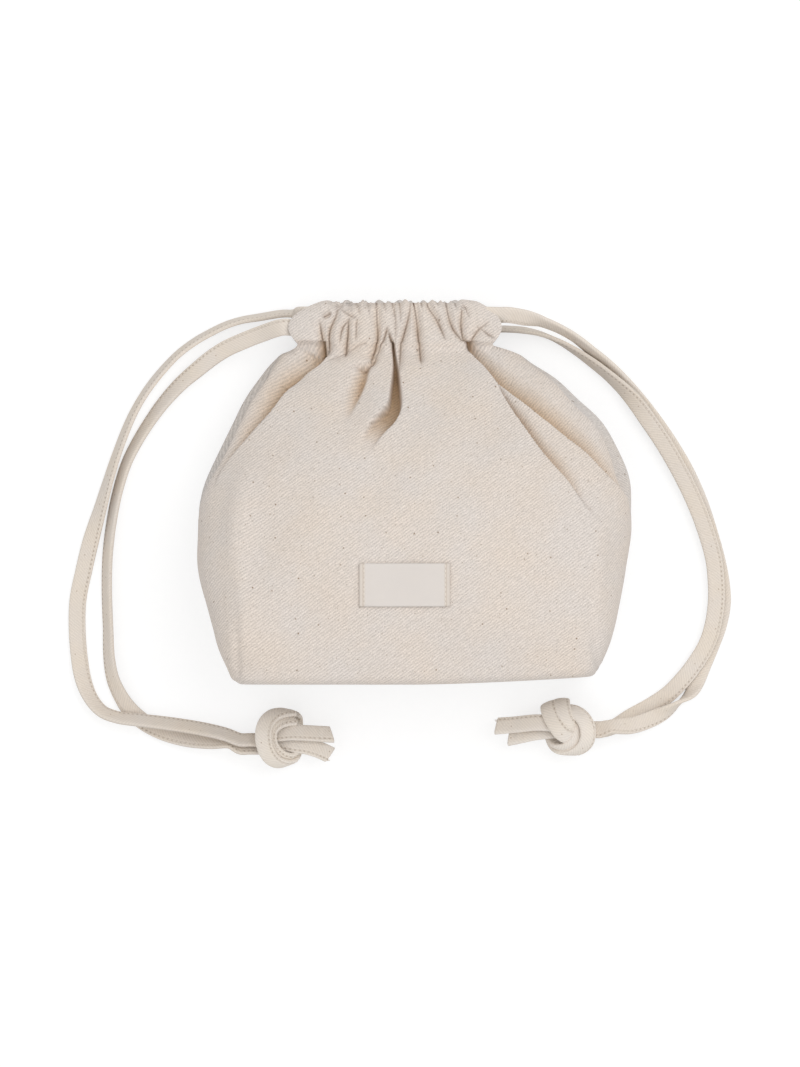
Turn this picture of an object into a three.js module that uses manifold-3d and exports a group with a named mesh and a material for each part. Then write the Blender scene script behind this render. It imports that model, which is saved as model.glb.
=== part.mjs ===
// A cotton canvas drawstring pouch, lying on its back with its mouth drawn closed.
//
// Millimetres. X runs across the bag, Y from its base to its mouth, and Z up from the surface under it.
// The origin is the middle of the bag's footprint on that surface, without the cords.

import * as THREE from "three";
import { mergeVertices } from "three/addons/utils/BufferGeometryUtils.js";
import Module from "manifold-3d";

const wasm = await Module();
wasm.setup();

// Driving dimensions of the bag
const BAG_HEIGHT = 191; // from the base to the rim
const BASE_WIDTH = 181;
const BASE_DEPTH = 84;
const BODY_WIDTH = 217; // where the bag is widest
const WIDEST_HEIGHT = 77; // how far that is above the base
const CROWN_RISE = 7; // the front's middle stands this much higher than the base's front edge
const CROWN_HEIGHT = 48; // how far above the base it does so
const CLOTH = 1.2;
const SEAM_GAP = 0.3; // between pieces that are sewn face to face
const FLOOR_SAG = 5; // the back panel's round would reach this far below the surface that flattens it
const SHOULDER_POWER = 2.1; // how the outline draws in from the widest place to the neck
const HIP_POWER = 1.7; // and from there to the base
const FRONT_POWER = 2; // how the front comes down to the neck
const BASE_SQUARENESS = 10; // a section is |x|^n + |z|^n = 1, with this n at the base
const BODY_SQUARENESS = 2.8; // and this n from here up
const SQUARE_HEIGHT = 66;

// The gathered neck and its two casings
const NECK_WIDTH = 105;
const NECK_SHIFT = -10; // the drawn neck lies this far to the side of the body's middle
const NECK_REST = 1; // height of the back casing over the surface
const SHIFT_HEIGHT = 95; // the body starts to lean towards the neck here
const CASING_HEIGHT = 23;
const CASING_THICK = 10;
const CASING_WALL = 2;
const MOUTH_GAP = 9; // the slit between the two casings
const GATHERS = 11; // pleats across a casing
const GATHER_RISE = 0.7; // a pleat stands this far out of the casing
const FOLD_HEIGHT = 84; // the folds that run down from the neck end above here
const FOLD_EDGE = 2; // a fold's step is spread this far to both sides of its line
const FOLD_LIMIT = 11; // the deepest that folds press the cloth in
const NECK_EASE = 18; // folds get half as deep over this far below the neck

// The drawstrings, two lengths of flat tape, and their knots
const TAPE_WIDTH = 8.5;
const TAPE_THICK = 2.4;
const TAPE_EDGE = 0.7; // the bevel along its edges
const LANE_GAP = 0.7; // between the two tapes that share a casing
const TURN_REACH = 8; // how far a tape swings out as it turns from one casing to the other
const TURN_MARGIN = 1; // from the turn to the end of the casing
const PULL_TRAVEL = 40; // how far a cord can still be drawn out
const SEATED = 6; // tape that stays in the casing when the cord is fully out
const KNOT_CLEAR = 0.4; // between a knot and the tapes that go in and come out
const KNOT_END = 2; // the doubled tape runs straight for this far at both ends of a knot
const TAIL_SPREAD = 4.2; // a tail's end, from the line midway between the two
const KNOT_LIFT = 11.8; // height of a knot's middle over the surface
const LEFT_KNOT = [-70, -124.2];
const RIGHT_KNOT = [75.5, -118.4];

// The sewn-on label and the seam allowances inside
const LABEL_WIDTH = 45;
const LABEL_HEIGHT = 21.5;
const LABEL_THICK = 0.8;
const LABEL_ASIDE = -5.2; // its middle, from the bag's middle line
const LABEL_ABOVE = 49; // its middle, above the base
const STITCH_INSET = 2.6; // a stitch row, from the label's short end
const STITCH_WIDTH = 0.8;
const ALLOWANCE = 8; // width of a seam allowance
const CORNER_SETBACK = 16; // a boxed corner's seam, from the base's front and back edges

// Places that follow from the sizes
const BODY_HEIGHT = BAG_HEIGHT - CASING_HEIGHT;
const BASE_Y = -BAG_HEIGHT / 2;
const NECK_TOP = NECK_REST + 2 * CASING_THICK + MOUTH_GAP;
const NECK_MIDDLE = NECK_REST + CASING_THICK + MOUTH_GAP / 2;
const LEFT_END = NECK_SHIFT - NECK_WIDTH / 2;
const RIGHT_END = NECK_SHIFT + NECK_WIDTH / 2;
const CASING_Y = BAG_HEIGHT / 2 - CASING_HEIGHT / 2;
const TUNNEL_HEIGHT = CASING_HEIGHT - 2 * CASING_WALL;
const TUNNEL_THICK = CASING_THICK - 2 * CASING_WALL;
const LOW_LANE = CASING_Y - (TAPE_WIDTH + LANE_GAP) / 2;
const HIGH_LANE = CASING_Y + (TAPE_WIDTH + LANE_GAP) / 2;
const FRONT_LANE = NECK_MIDDLE + MOUTH_GAP / 2 + CASING_THICK / 2;
const BACK_LANE = NECK_MIDDLE - MOUTH_GAP / 2 - CASING_THICK / 2;
const STUB = PULL_TRAVEL + SEATED;
const CORNER_SEAM_THICK = 2 * CLOTH;

const CANVAS = { color: 0xd8cec4, roughness: 0.92, metalness: 0 };
const TAPE = { color: 0xddd3c8, roughness: 0.9, metalness: 0 };
const LABEL = { color: 0xe2ddd8, roughness: 0.7, metalness: 0 };

// Small helpers

const point = (x, y, z) => new THREE.Vector3(x, y, z);
const share = (value, from, to) => THREE.MathUtils.clamp((value - from) / (to - from), 0, 1);
const steps = (count) => Array.from({ length: count + 1 }, (_, i) => i / count);
const signedPower = (value, power) => Math.sign(value) * Math.abs(value) ** power;

function geometryOf(points, triangles) {
  const geometry = new THREE.BufferGeometry().setFromPoints(points);
  geometry.setIndex(triangles.flat());
  return geometry;
}

// The triangles of a grid of points, seen with its rows running up and its columns running to the left
function gridTriangles(rows, columns) {
  const triangles = [];
  for (let r = 0; r + 1 < rows; r++) {
    for (let c = 0; c + 1 < columns; c++) {
      const corner = r * columns + c;
      triangles.push([corner, corner + columns, corner + columns + 1]);
      triangles.push([corner, corner + columns + 1, corner + 1]);
    }
  }
  return triangles;
}

// A sheet of cloth as a closed solid: the outer face, the inner face turned round, and the cut edges between
function thicken(outer, inner, triangles) {
  const count = outer.length;
  const edges = new Map();
  for (const [a, b, c] of triangles) {
    for (const [from, to] of [[a, b], [b, c], [c, a]]) {
      if (!edges.delete(`${to} ${from}`)) edges.set(`${from} ${to}`, [from, to]);
    }
  }
  const faces = [...triangles];
  for (const [a, b, c] of triangles) faces.push([a + count, c + count, b + count]);
  for (const [from, to] of edges.values()) {
    faces.push([to, from, from + count], [to, from + count, to + count]);
  }
  return geometryOf([...outer, ...inner], faces);
}

// A closed solid through a row of rings that have equal numbers of points
function loft(rings) {
  const size = rings[0].length;
  const last = (rings.length - 1) * size;
  const faces = [];
  for (let r = 0; r + 1 < rings.length; r++) {
    for (let k = 0; k < size; k++) {
      const next = (k + 1) % size;
      const [a, b] = [r * size + k, r * size + next];
      faces.push([a, b, b + size], [a, b + size, a + size]);
    }
  }
  for (let k = 1; k + 1 < size; k++) {
    faces.push([0, k + 1, k], [last, last + k, last + k + 1]);
  }
  return geometryOf(rings.flat(), faces);
}

function solidOf(geometry) {
  const bare = geometry.clone();
  bare.deleteAttribute("normal");
  bare.deleteAttribute("uv");
  const merged = mergeVertices(bare);
  return new wasm.Manifold(
    new wasm.Mesh({
      numProp: 3,
      vertProperties: merged.getAttribute("position").array,
      triVerts: new Uint32Array(merged.index.array),
    }),
  );
}

function geometryFrom(solid) {
  const { vertProperties, triVerts } = solid.getMesh();
  const geometry = new THREE.BufferGeometry();
  geometry.setAttribute("position", new THREE.BufferAttribute(vertProperties, 3));
  return geometry.setIndex(new THREE.BufferAttribute(triVerts, 1));
}

function box(low, high) {
  const size = high.clone().sub(low);
  const middle = low.clone().add(high).multiplyScalar(0.5);
  return new THREE.BoxGeometry(size.x, size.y, size.z).translate(middle.x, middle.y, middle.z);
}

function named(name, geometry, material) {
  const mesh = new THREE.Mesh(geometry, new THREE.MeshStandardMaterial(material));
  mesh.name = name;
  return mesh;
}

// The body's shape, at a height above the base

function halfWidth(height) {
  const up = share(height, WIDEST_HEIGHT, BODY_HEIGHT) ** SHOULDER_POWER;
  const down = share(height, WIDEST_HEIGHT, 0) ** HIP_POWER;
  return BODY_WIDTH / 2 - (up * (BODY_WIDTH - NECK_WIDTH) + down * (BODY_WIDTH - BASE_WIDTH)) / 2;
}

function middleLine(height) {
  return NECK_SHIFT * share(height, SHIFT_HEIGHT, BODY_HEIGHT) ** 2;
}

function frontTop(height) {
  const up = share(height, CROWN_HEIGHT, BODY_HEIGHT) ** FRONT_POWER;
  const down = share(height, CROWN_HEIGHT, 0) ** 2;
  return BASE_DEPTH + CROWN_RISE * (1 - down) - up * (BASE_DEPTH + CROWN_RISE - NECK_TOP);
}

function backBottom(height) {
  return NECK_REST * share(height, SHIFT_HEIGHT, BODY_HEIGHT);
}

function squareness(height) {
  const fade = (1 - share(height, 0, SQUARE_HEIGHT)) ** 2;
  return BODY_SQUARENESS + fade * (BASE_SQUARENESS - BODY_SQUARENESS);
}

// The main folds of the front, from the neck outwards. Each row is x, y, how far the cloth steps down
// beside the line there, and how far aside it comes up again.
const LEFT_SHOULDER_FOLD = [
  [-47, 77, 0, 4],
  [-44.7, 68.5, 6.5, 10],
  [-47.6, 64.8, 8.7, 13],
  [-56.8, 58.3, 9.4, 14],
  [-64.8, 50.3, 8.7, 13],
  [-73, 39.3, 7.2, 12],
  [-81.7, 30.3, 5.8, 10],
  [-92.7, 17.8, 3.6, 8],
  [-97.8, 9.1, 1.7, 6],
  [-100.5, 0, 0, 5],
];
const RIGHT_BACK_FOLD = [
  [24, 79, 0, 4],
  [26.8, 71.8, 6.5, 9],
  [35.2, 61.7, 9.9, 13],
  [39.9, 56, 10.4, 16],
  [53.7, 44.9, 10.4, 18],
  [69, 33.4, 9.4, 18],
  [84.4, 21.3, 7.2, 16],
  [92, 14.3, 5, 14],
  [99.6, 6.6, 2.9, 11],
  [106.5, -1.3, 0, 8],
];
const RIGHT_FRONT_FOLD = [
  [39.5, 56, 0, 1.5],
  [45.3, 46.4, 6, 4.6],
  [52.2, 35.8, 8, 8],
  [59.9, 25, 7.5, 11],
  [69, 13.5, 6, 14],
  [77.4, 3.6, 4, 15],
  [84.4, -6.4, 1.7, 15],
  [90.5, -15.2, 0, 14],
];

// The deep pleat below the middle of the casing: the last number is half of its width
const MIDDLE_PLEAT = [
  [-13.5, 80.8, 0, 1],
  [-10.3, 68.5, 6, 1],
  [-9.7, 61.7, 9, 1.5],
  [-10.3, 43.3, 9, 3.2],
  [-13.5, 37.7, 7, 4],
  [-18.5, 32.3, 4.5, 4],
  [-25.5, 20.8, 0, 3],
];

// How far a place lies to the left of a line, and the line's last two numbers there
function besideLine(line, x, y) {
  let nearest = { away: Infinity };
  for (let i = 0; i + 1 < line.length; i++) {
    const [from, to] = [line[i], line[i + 1]];
    const [dx, dy] = [to[0] - from[0], to[1] - from[1]];
    const part = share((x - from[0]) * dx + (y - from[1]) * dy, 0, dx * dx + dy * dy);
    const away = Math.hypot(x - from[0] - part * dx, y - from[1] - part * dy);
    if (away >= nearest.away) continue;
    const left = dx * (y - from[1]) > dy * (x - from[0]);
    const [deep, reach] = [2, 3].map((k) => THREE.MathUtils.lerp(from[k], to[k], part));
    nearest = { away, aside: left ? away : -away, deep, reach };
  }
  return nearest;
}

// The step down beside a fold: lowSide is 1 where the lower cloth lies to the line's left,
// and -1 where it lies to its right
function stepDepth(line, lowSide, x, y) {
  const { aside, deep, reach } = besideLine(line, x, y);
  const low = aside * lowSide;
  const back = 1 - share(low, FOLD_EDGE, FOLD_EDGE + reach);
  return deep * back ** 2 * THREE.MathUtils.smoothstep(low, -FOLD_EDGE, FOLD_EDGE);
}

function pleatDepth(line, x, y) {
  const { away, deep, reach } = besideLine(line, x, y);
  return deep * (1 - THREE.MathUtils.smoothstep(away, 0, reach + FOLD_EDGE));
}

// How far the front is pressed in at a place
function foldDepth(x, y) {
  const deep =
    stepDepth(LEFT_SHOULDER_FOLD, -1, x, y) +
    stepDepth(RIGHT_BACK_FOLD, 1, x, y) +
    stepDepth(RIGHT_FRONT_FOLD, 1, x, y) +
    pleatDepth(MIDDLE_PLEAT, x, y);
  const height = y - BASE_Y;
  return Math.min(deep, FOLD_LIMIT) * (1 - 0.5 * share(height, BODY_HEIGHT - NECK_EASE, BODY_HEIGHT));
}

// A point of the body's section, at an angle from the right side seam round by the front.
// takenIn is how far the cloth lies inside the outer face.
function sectionPoint(height, angle, takenIn) {
  const power = 2 / squareness(height);
  const top = frontTop(height) - takenIn;
  const bottom = backBottom(height) + takenIn;
  const middle = (frontTop(height) + backBottom(height)) / 2;
  const rise = Math.sin(angle) < 0 ? middle - bottom + FLOOR_SAG : top - middle;
  const x = middleLine(height) + (halfWidth(height) - takenIn) * signedPower(Math.cos(angle), power);
  const z = Math.max(bottom, middle + rise * signedPower(Math.sin(angle), power));
  return point(x, BASE_Y + height, z);
}

// Evenly spaced points along a stretch of the section
function sectionStretch(height, from, to, count, takenIn) {
  const fine = 60;
  const line = new THREE.CurvePath();
  const dense = steps(fine).map((s) => sectionPoint(height, from + s * (to - from), takenIn));
  for (let i = 0; i < fine; i++) line.add(new THREE.LineCurve3(dense[i], dense[i + 1]));
  return steps(count).map((s) => line.getPointAt(s));
}

// One row of a panel: half of a side, the face, and half of the other side
function panelRow(height, start, sideCount, faceCount, takenIn) {
  const turns = [0, Math.PI / 4, (3 * Math.PI) / 4, Math.PI].map((angle) => start + angle);
  const counts = [sideCount, faceCount, sideCount];
  return counts.flatMap((count, i) =>
    sectionStretch(height, turns[i], turns[i + 1], count, takenIn).slice(i ? 1 : 0),
  );
}

// The heights of a panel's rows, closer together at the base and among the folds
function rowHeights() {
  const low = steps(7).map((s) => FOLD_HEIGHT * (1 - Math.cos((Math.PI / 2) * s)));
  const high = steps(16).map((s) => THREE.MathUtils.lerp(FOLD_HEIGHT, BODY_HEIGHT, s));
  return [...low, ...high.slice(1)];
}

// A panel with its half of the base: start is the angle of its first side seam
function panel({ start, sideCount, faceCount, folded }) {
  const seamSide = start ? -1 : 1;
  const shaped = (height, takenIn) => {
    const row = panelRow(height, start, sideCount, faceCount, takenIn);
    const seamHeight = (frontTop(height) + backBottom(height)) / 2 + (seamSide * SEAM_GAP) / 2;
    for (const end of [row[0], row[row.length - 1]]) end.z = seamHeight;
    return row;
  };
  const heights = rowHeights();
  const outer = heights.map((height) => shaped(height, 0));
  const inner = heights.map((height, i) => shaped(i ? height : CLOTH, CLOTH));
  const columns = outer[0].length;
  if (folded) pressFolds(outer, inner, sideCount);
  const rim = outer[0].map((p) => new THREE.Vector2(p.x, p.z));
  const base = THREE.ShapeUtils.triangulateShape(rim, []);
  const turned = THREE.ShapeUtils.area(rim) > 0;
  const triangles = gridTriangles(outer.length, columns);
  for (const [a, b, c] of base) triangles.push(turned ? [a, b, c] : [a, c, b]);
  return thicken(outer.flat(), inner.flat(), triangles);
}

// Presses the folds into both faces of the front, less and less towards the side seams
function pressFolds(outer, inner, sideCount) {
  outer.forEach((row, r) =>
    row.forEach((p, c) => {
      const free = share(Math.min(c, row.length - 1 - c), 0, sideCount);
      const deep = free * foldDepth(p.x, p.y);
      p.z -= deep;
      inner[r][c].z -= deep;
    }),
  );
}

const frontPanel = () => panel({ start: 0, sideCount: 6, faceCount: 40, folded: true });
const backPanel = () => panel({ start: Math.PI, sideCount: 4, faceCount: 12, folded: false });

// The seam allowance that stands into the bag along a side seam
function sideSeam(side) {
  const low = CLOTH + CORNER_SEAM_THICK + 2 * SEAM_GAP;
  const heights = [low, ...rowHeights().filter((height) => height > low && height < BODY_HEIGHT - ALLOWANCE)];
  const rings = heights.map((height) => {
    const near = middleLine(height) + side * (halfWidth(height) - CLOTH - 2 * SEAM_GAP);
    const far = near - side * ALLOWANCE;
    const z = (frontTop(height) + backBottom(height)) / 2;
    const y = BASE_Y + height;
    const corners = [
      point(near, y, z - CLOTH),
      point(near, y, z + CLOTH),
      point(far, y, z + CLOTH),
      point(far, y, z - CLOTH),
    ];
    return side > 0 ? corners.reverse() : corners;
  });
  return loft(rings);
}

// The seam allowance across one end of the base, where a corner is boxed
function cornerSeam(side) {
  const near = side * (BASE_WIDTH / 2 - CLOTH - 2 * SEAM_GAP);
  const far = near - side * ALLOWANCE;
  const y = BASE_Y + CLOTH + SEAM_GAP;
  const low = point(Math.min(near, far), y, CORNER_SETBACK);
  return box(low, point(Math.max(near, far), y + CORNER_SEAM_THICK, BASE_DEPTH - CORNER_SETBACK));
}

// The seam allowance along the middle of the base
function baseSeam() {
  const reach = BASE_WIDTH / 2 - CLOTH - ALLOWANCE - 3 * SEAM_GAP;
  const y = BASE_Y + CLOTH + SEAM_GAP;
  const z = BASE_DEPTH / 2;
  return box(point(-reach, y, z - CLOTH), point(reach, y + ALLOWANCE, z + CLOTH));
}

// Height of the front panel's outer face, away from the folds
function frontFace(x, height) {
  const n = squareness(height);
  const middle = (frontTop(height) + backBottom(height)) / 2;
  const outward = Math.abs((x - middleLine(height)) / halfWidth(height)) ** n;
  return middle + (frontTop(height) - middle) * (1 - outward) ** (1 / n);
}

// A flat piece sewn to the front, which follows it: lift is the space under it
function patch(middleX, width, tall, lift, thick, across, up) {
  const surface = (above) =>
    steps(up).flatMap((v) =>
      steps(across).map((u) => {
        const height = LABEL_ABOVE + (v - 0.5) * tall;
        const x = middleX - (u - 0.5) * width;
        return point(x, BASE_Y + height, frontFace(x, height) + above);
      }),
    );
  return thicken(surface(lift + thick), surface(lift), gridTriangles(up + 1, across + 1));
}

function label() {
  return patch(LABEL_ASIDE, LABEL_WIDTH, LABEL_HEIGHT, SEAM_GAP, LABEL_THICK, 8, 5);
}

// The thread along one short end of the label
function labelStitch(side) {
  const middleX = LABEL_ASIDE + side * (LABEL_WIDTH / 2 - STITCH_INSET);
  const tall = LABEL_HEIGHT - 2 * STITCH_INSET;
  return patch(middleX, STITCH_WIDTH, tall, 2 * SEAM_GAP + LABEL_THICK, STITCH_WIDTH / 2, 1, 5);
}

// A casing: a flat tube with pleats on its outer face, open at both ends for the cords.
// facing is 1 for the front casing and -1 for the back one.
function casing(facing) {
  const perPleat = 2;
  const round = 4; // squareness of the tube's section
  const inside = NECK_MIDDLE + (facing * MOUTH_GAP) / 2;
  const rings = steps(GATHERS * perPleat).map((s) => {
    const pleat = 0.5 - 0.5 * Math.cos(2 * Math.PI * GATHERS * s);
    const lowered = GATHER_RISE * (1 - pleat);
    const thick = CASING_THICK - lowered;
    const tall = CASING_HEIGHT - SEAM_GAP - lowered;
    const x = LEFT_END + s * NECK_WIDTH;
    const y = BAG_HEIGHT / 2 - lowered - tall / 2;
    const ring = steps(12)
      .slice(1)
      .map((turn) => {
        const angle = 2 * Math.PI * turn;
        const across = (tall / 2) * signedPower(Math.cos(angle), 2 / round);
        const out = (thick / 2) * (1 + signedPower(Math.sin(angle), 2 / round));
        return point(x, y + across, inside + facing * out);
      });
    return facing > 0 ? ring : ring.reverse();
  });
  const tunnelNear = inside + facing * CASING_WALL;
  const tunnelFar = tunnelNear + facing * TUNNEL_THICK;
  const [tunnelLow, tunnelHigh] = [CASING_Y - TUNNEL_HEIGHT / 2, CASING_Y + TUNNEL_HEIGHT / 2];
  const between = (x0, x1, z0, z1) =>
    solidOf(box(point(x0, tunnelLow, Math.min(z0, z1)), point(x1, tunnelHigh, Math.max(z0, z1))));
  const past = 1; // the cuts run this far past the casing
  const notch = TURN_REACH + TAPE_THICK + 2 * TURN_MARGIN;
  const mouthSide = inside - facing * past;
  const made = solidOf(loft(rings))
    .subtract(between(LEFT_END - past, RIGHT_END + past, tunnelNear, tunnelFar))
    .subtract(between(LEFT_END - past, LEFT_END + notch, mouthSide, tunnelFar))
    .subtract(between(RIGHT_END - notch, RIGHT_END + past, mouthSide, tunnelFar));
  return geometryFrom(made);
}

// Tapes: a tape runs through places, each with the direction that its flat side faces

function tapeRing(place, along, facing, width, thick) {
  const flat = facing.clone().addScaledVector(along, -facing.dot(along)).normalize();
  const across = flat.clone().cross(along);
  const [w, t] = [width / 2, thick / 2];
  const outline = [
    [w, TAPE_EDGE - t],
    [w, t - TAPE_EDGE],
    [w - TAPE_EDGE, t],
    [TAPE_EDGE - w, t],
    [-w, t - TAPE_EDGE],
    [-w, TAPE_EDGE - t],
    [TAPE_EDGE - w, -t],
    [w - TAPE_EDGE, -t],
  ];
  return outline.map(([a, b]) => place.clone().addScaledVector(across, a).addScaledVector(flat, b));
}

function tape(places, facings, width = TAPE_WIDTH, thick = TAPE_THICK) {
  const rings = places.map((place, i) => {
    const before = places[Math.max(0, i - 1)];
    const after = places[Math.min(places.length - 1, i + 1)];
    return tapeRing(place, after.clone().sub(before).normalize(), facings[i], width, thick);
  });
  return loft(rings);
}

// The part of a cord that stays in the casings: along the front one, round the far end, and back.
// side is 1 for the cord that turns at the right end, and frontLane the lane that it takes in front.
function mouthLoop(side, frontLane, backLane) {
  const end = side > 0 ? RIGHT_END : LEFT_END;
  const start = (side > 0 ? LEFT_END : RIGHT_END) + side * (STUB + LANE_GAP);
  const turnAt = end - side * (TURN_REACH + TAPE_THICK / 2 + TURN_MARGIN);
  const middle = (FRONT_LANE + BACK_LANE) / 2;
  const reach = (FRONT_LANE - BACK_LANE) / 2;
  const places = [point(start, frontLane, FRONT_LANE)];
  const facings = [point(0, 0, 1)];
  for (const s of steps(12)) {
    const angle = Math.PI * s;
    const changed = THREE.MathUtils.smoothstep(s, 0.25, 0.75);
    const y = frontLane + changed * (backLane - frontLane);
    places.push(point(turnAt + side * TURN_REACH * Math.sin(angle), y, middle + reach * Math.cos(angle)));
    facings.push(point(side * Math.sin(angle), 0, Math.cos(angle)));
  }
  places.push(point(start, backLane, BACK_LANE));
  facings.push(point(0, 0, -1));
  return tape(places, facings);
}

// Where a free strand lies. Each row is x, y, the space under the tape, and its twist in degrees:
// at 0 the tape lies flat, and at 90 it stands on its edge. A strand leaves its casing level with its lane.
const LEFT_FRONT_ROUTE = [
  [-78, 78.9, 16.6, 0],
  [-87.5, 75.2, 12.6, 4],
  [-95, 71.8, 9.6, 8],
  [-102.5, 67, 7, 14],
  [-110, 61, 4.8, 24],
  [-117.5, 54.6, 3, 36],
  [-126, 45.4, 1.4, 46],
  [-133.5, 35.2, 0.5, 53],
  [-139.8, 25, 0.3, 56],
  [-145, 14.6, 0.3, 58],
  [-149.6, 0, 0.3, 60],
  [-152.6, -15, 0.3, 60],
  [-154.6, -32, 0.3, 60],
  [-155, -50, 0.3, 60],
  [-154.4, -68, 0.3, 60],
  [-153.8, -84, 0.3, 54],
  [-151.8, -94.6, 0.3, 46],
  [-147.4, -104, 0.3, 34],
  [-142.8, -110.4, 0.3, 16],
  [-136, -116.2, 0.3, 0],
  [-127, -120.8, 0.3, -14],
  [-115, -124.4, 1, -30],
  [-103, -125.8, 3.4, -40],
  [-93, -125.8, 5.6, -45],
];
const LEFT_BACK_ROUTE = [
  [-78, 87.8, 0.6, 72],
  [-87.5, 86.2, 0.3, 74],
  [-95, 83.8, 0.3, 73],
  [-102.5, 80.2, 0.3, 72],
  [-110, 76, 0.3, 72],
  [-120, 68.4, 0.3, 72],
  [-131.5, 55.6, 0.3, 70],
  [-138.3, 45.6, 0.3, 70],
  [-143.5, 35.6, 0.3, 68],
  [-149.4, 20.6, 0.3, 66],
  [-154.3, 5.6, 0.3, 60],
  [-158.6, -9.4, 0.3, 46],
  [-163, -24.4, 0.3, 20],
  [-166.6, -39.4, 0.3, 2],
  [-169.6, -54.4, 0.3, 0],
  [-170, -69.4, 0.3, 0],
  [-168.8, -84.4, 0.3, -8],
  [-166.8, -95, 0.3, -24],
  [-163, -104, 0.3, -40],
  [-157.4, -110.4, 1, -50],
  [-149.4, -113.5, 2.8, -52],
  [-140, -114.7, 4, -48],
  [-130, -115.8, 4.8, -46],
  [-119.4, -117.2, 5.4, -44],
  [-106, -119.4, 7.2, -44],
  [-95, -122, 8.8, -45],
];
const RIGHT_FRONT_ROUTE = [
  [55, 87.3, 18.4, 26],
  [64, 85.2, 12.6, 60],
  [73, 81.6, 8, 66],
  [81, 77, 4.6, 67],
  [89, 70.6, 2.2, 62],
  [97, 63.9, 0.8, 48],
  [105, 55.2, 0.3, 26],
  [112, 46.4, 0.3, 10],
  [120, 36, 0.3, 0],
  [128, 24.4, 0.3, 0],
  [136, 10.8, 0.3, 0],
  [142.8, -4.2, 0.3, 0],
  [147.8, -19.2, 0.3, 0],
  [152, -34.2, 0.3, 0],
  [154.2, -46, 0.3, 0],
  [154.8, -56, 0.3, 0],
  [152.8, -67, 0.3, 0],
  [149.2, -77, 0.3, 0],
  [145.2, -86.6, 0.3, 4],
  [141.8, -95, 0.3, 12],
  [139, -100.9, 0.3, 50],
  [133.8, -105.4, 0.3, 90],
  [127.8, -109.8, 1, 126],
  [120.4, -113.6, 2.6, 162],
  [109.6, -117.4, 6.6, 190],
  [98.2, -118.2, 10, 220],
];
const RIGHT_BACK_ROUTE = [
  [55, 81.2, 0.6, 76],
  [64, 79.2, 0.3, 80],
  [73, 75.3, 0.3, 78],
  [81, 70.6, 0.3, 74],
  [89, 65, 0.7, 66],
  [97, 58.7, 1.8, 50],
  [105, 51.4, 2.8, 26],
  [111, 44.8, 3.4, 10],
  [118, 35, 3.4, 0],
  [125, 24.6, 3.4, 0],
  [133, 10.8, 3.4, 0],
  [140.4, -4.2, 3.4, 0],
  [146.2, -19.2, 3.4, 0],
  [150.4, -34.2, 3.4, 0],
  [151.6, -46, 3.4, 0],
  [151.6, -56, 3.4, 0],
  [150, -67, 3.4, 0],
  [147, -76.4, 3.4, 0],
  [141.6, -85.6, 3.4, 0],
  [135, -94.2, 3.5, 0],
  [127.6, -101.8, 1.4, 0],
  [118.8, -107.8, 0.3, 0],
  [109.6, -112.8, 0.6, 10],
  [98.2, -119, 5.6, 43],
];

// A free strand, from inside its casing to its knot. out is -1 for the left cord and 1 for the right one,
// and halfTurns is how often the tape turns over on its way.
function strand(out, laneY, laneZ, route, knotSide, halfTurns = 0) {
  const end = out > 0 ? RIGHT_END : LEFT_END;
  const [knotX, knotY] = out > 0 ? RIGHT_KNOT : LEFT_KNOT;
  const lead = TAPE_WIDTH / 2; // it runs straight on for this far
  const knotted = point(knotX + out * (KNOT_ENTRY + KNOT_END + KNOT_CLEAR), knotY, KNOT_LIFT);
  const entry = knotted.addScaledVector(KNOT_FACING, (knotSide * (TAPE_THICK + LANE_GAP)) / 2);
  const knotTwist = out * KNOT_TWIST + halfTurns * Math.PI;
  const controls = [
    { place: point(end, laneY, laneZ), twist: 0 },
    { place: point(end + out * lead, laneY, laneZ), twist: 0 },
    ...route.map(([x, y, under, degrees]) => {
      const twist = THREE.MathUtils.degToRad(degrees);
      const rise = (TAPE_WIDTH * Math.abs(Math.sin(twist)) + TAPE_THICK * Math.abs(Math.cos(twist))) / 2;
      return { place: point(x, y, under + rise), twist };
    }),
    { place: entry.clone().add(point(out * lead, 0, 0)), twist: knotTwist },
    { place: entry, twist: knotTwist },
  ];
  const curve = new THREE.CatmullRomCurve3(controls.map((control) => control.place), false, "centripetal");
  const perControl = 2;
  const count = (controls.length - 1) * perControl;
  const places = [point(end - out * STUB, laneY, laneZ)];
  const facings = [point(0, 0, 1)];
  for (const s of steps(count)) {
    const at = s * (controls.length - 1);
    const from = Math.min(Math.floor(at), controls.length - 2);
    const twist = THREE.MathUtils.lerp(controls[from].twist, controls[from + 1].twist, at - from);
    places.push(curve.getPoint(s));
    facings.push(point(0, 0, 1).applyAxisAngle(curve.getTangent(s), twist));
  }
  return tape(places, facings);
}

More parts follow.
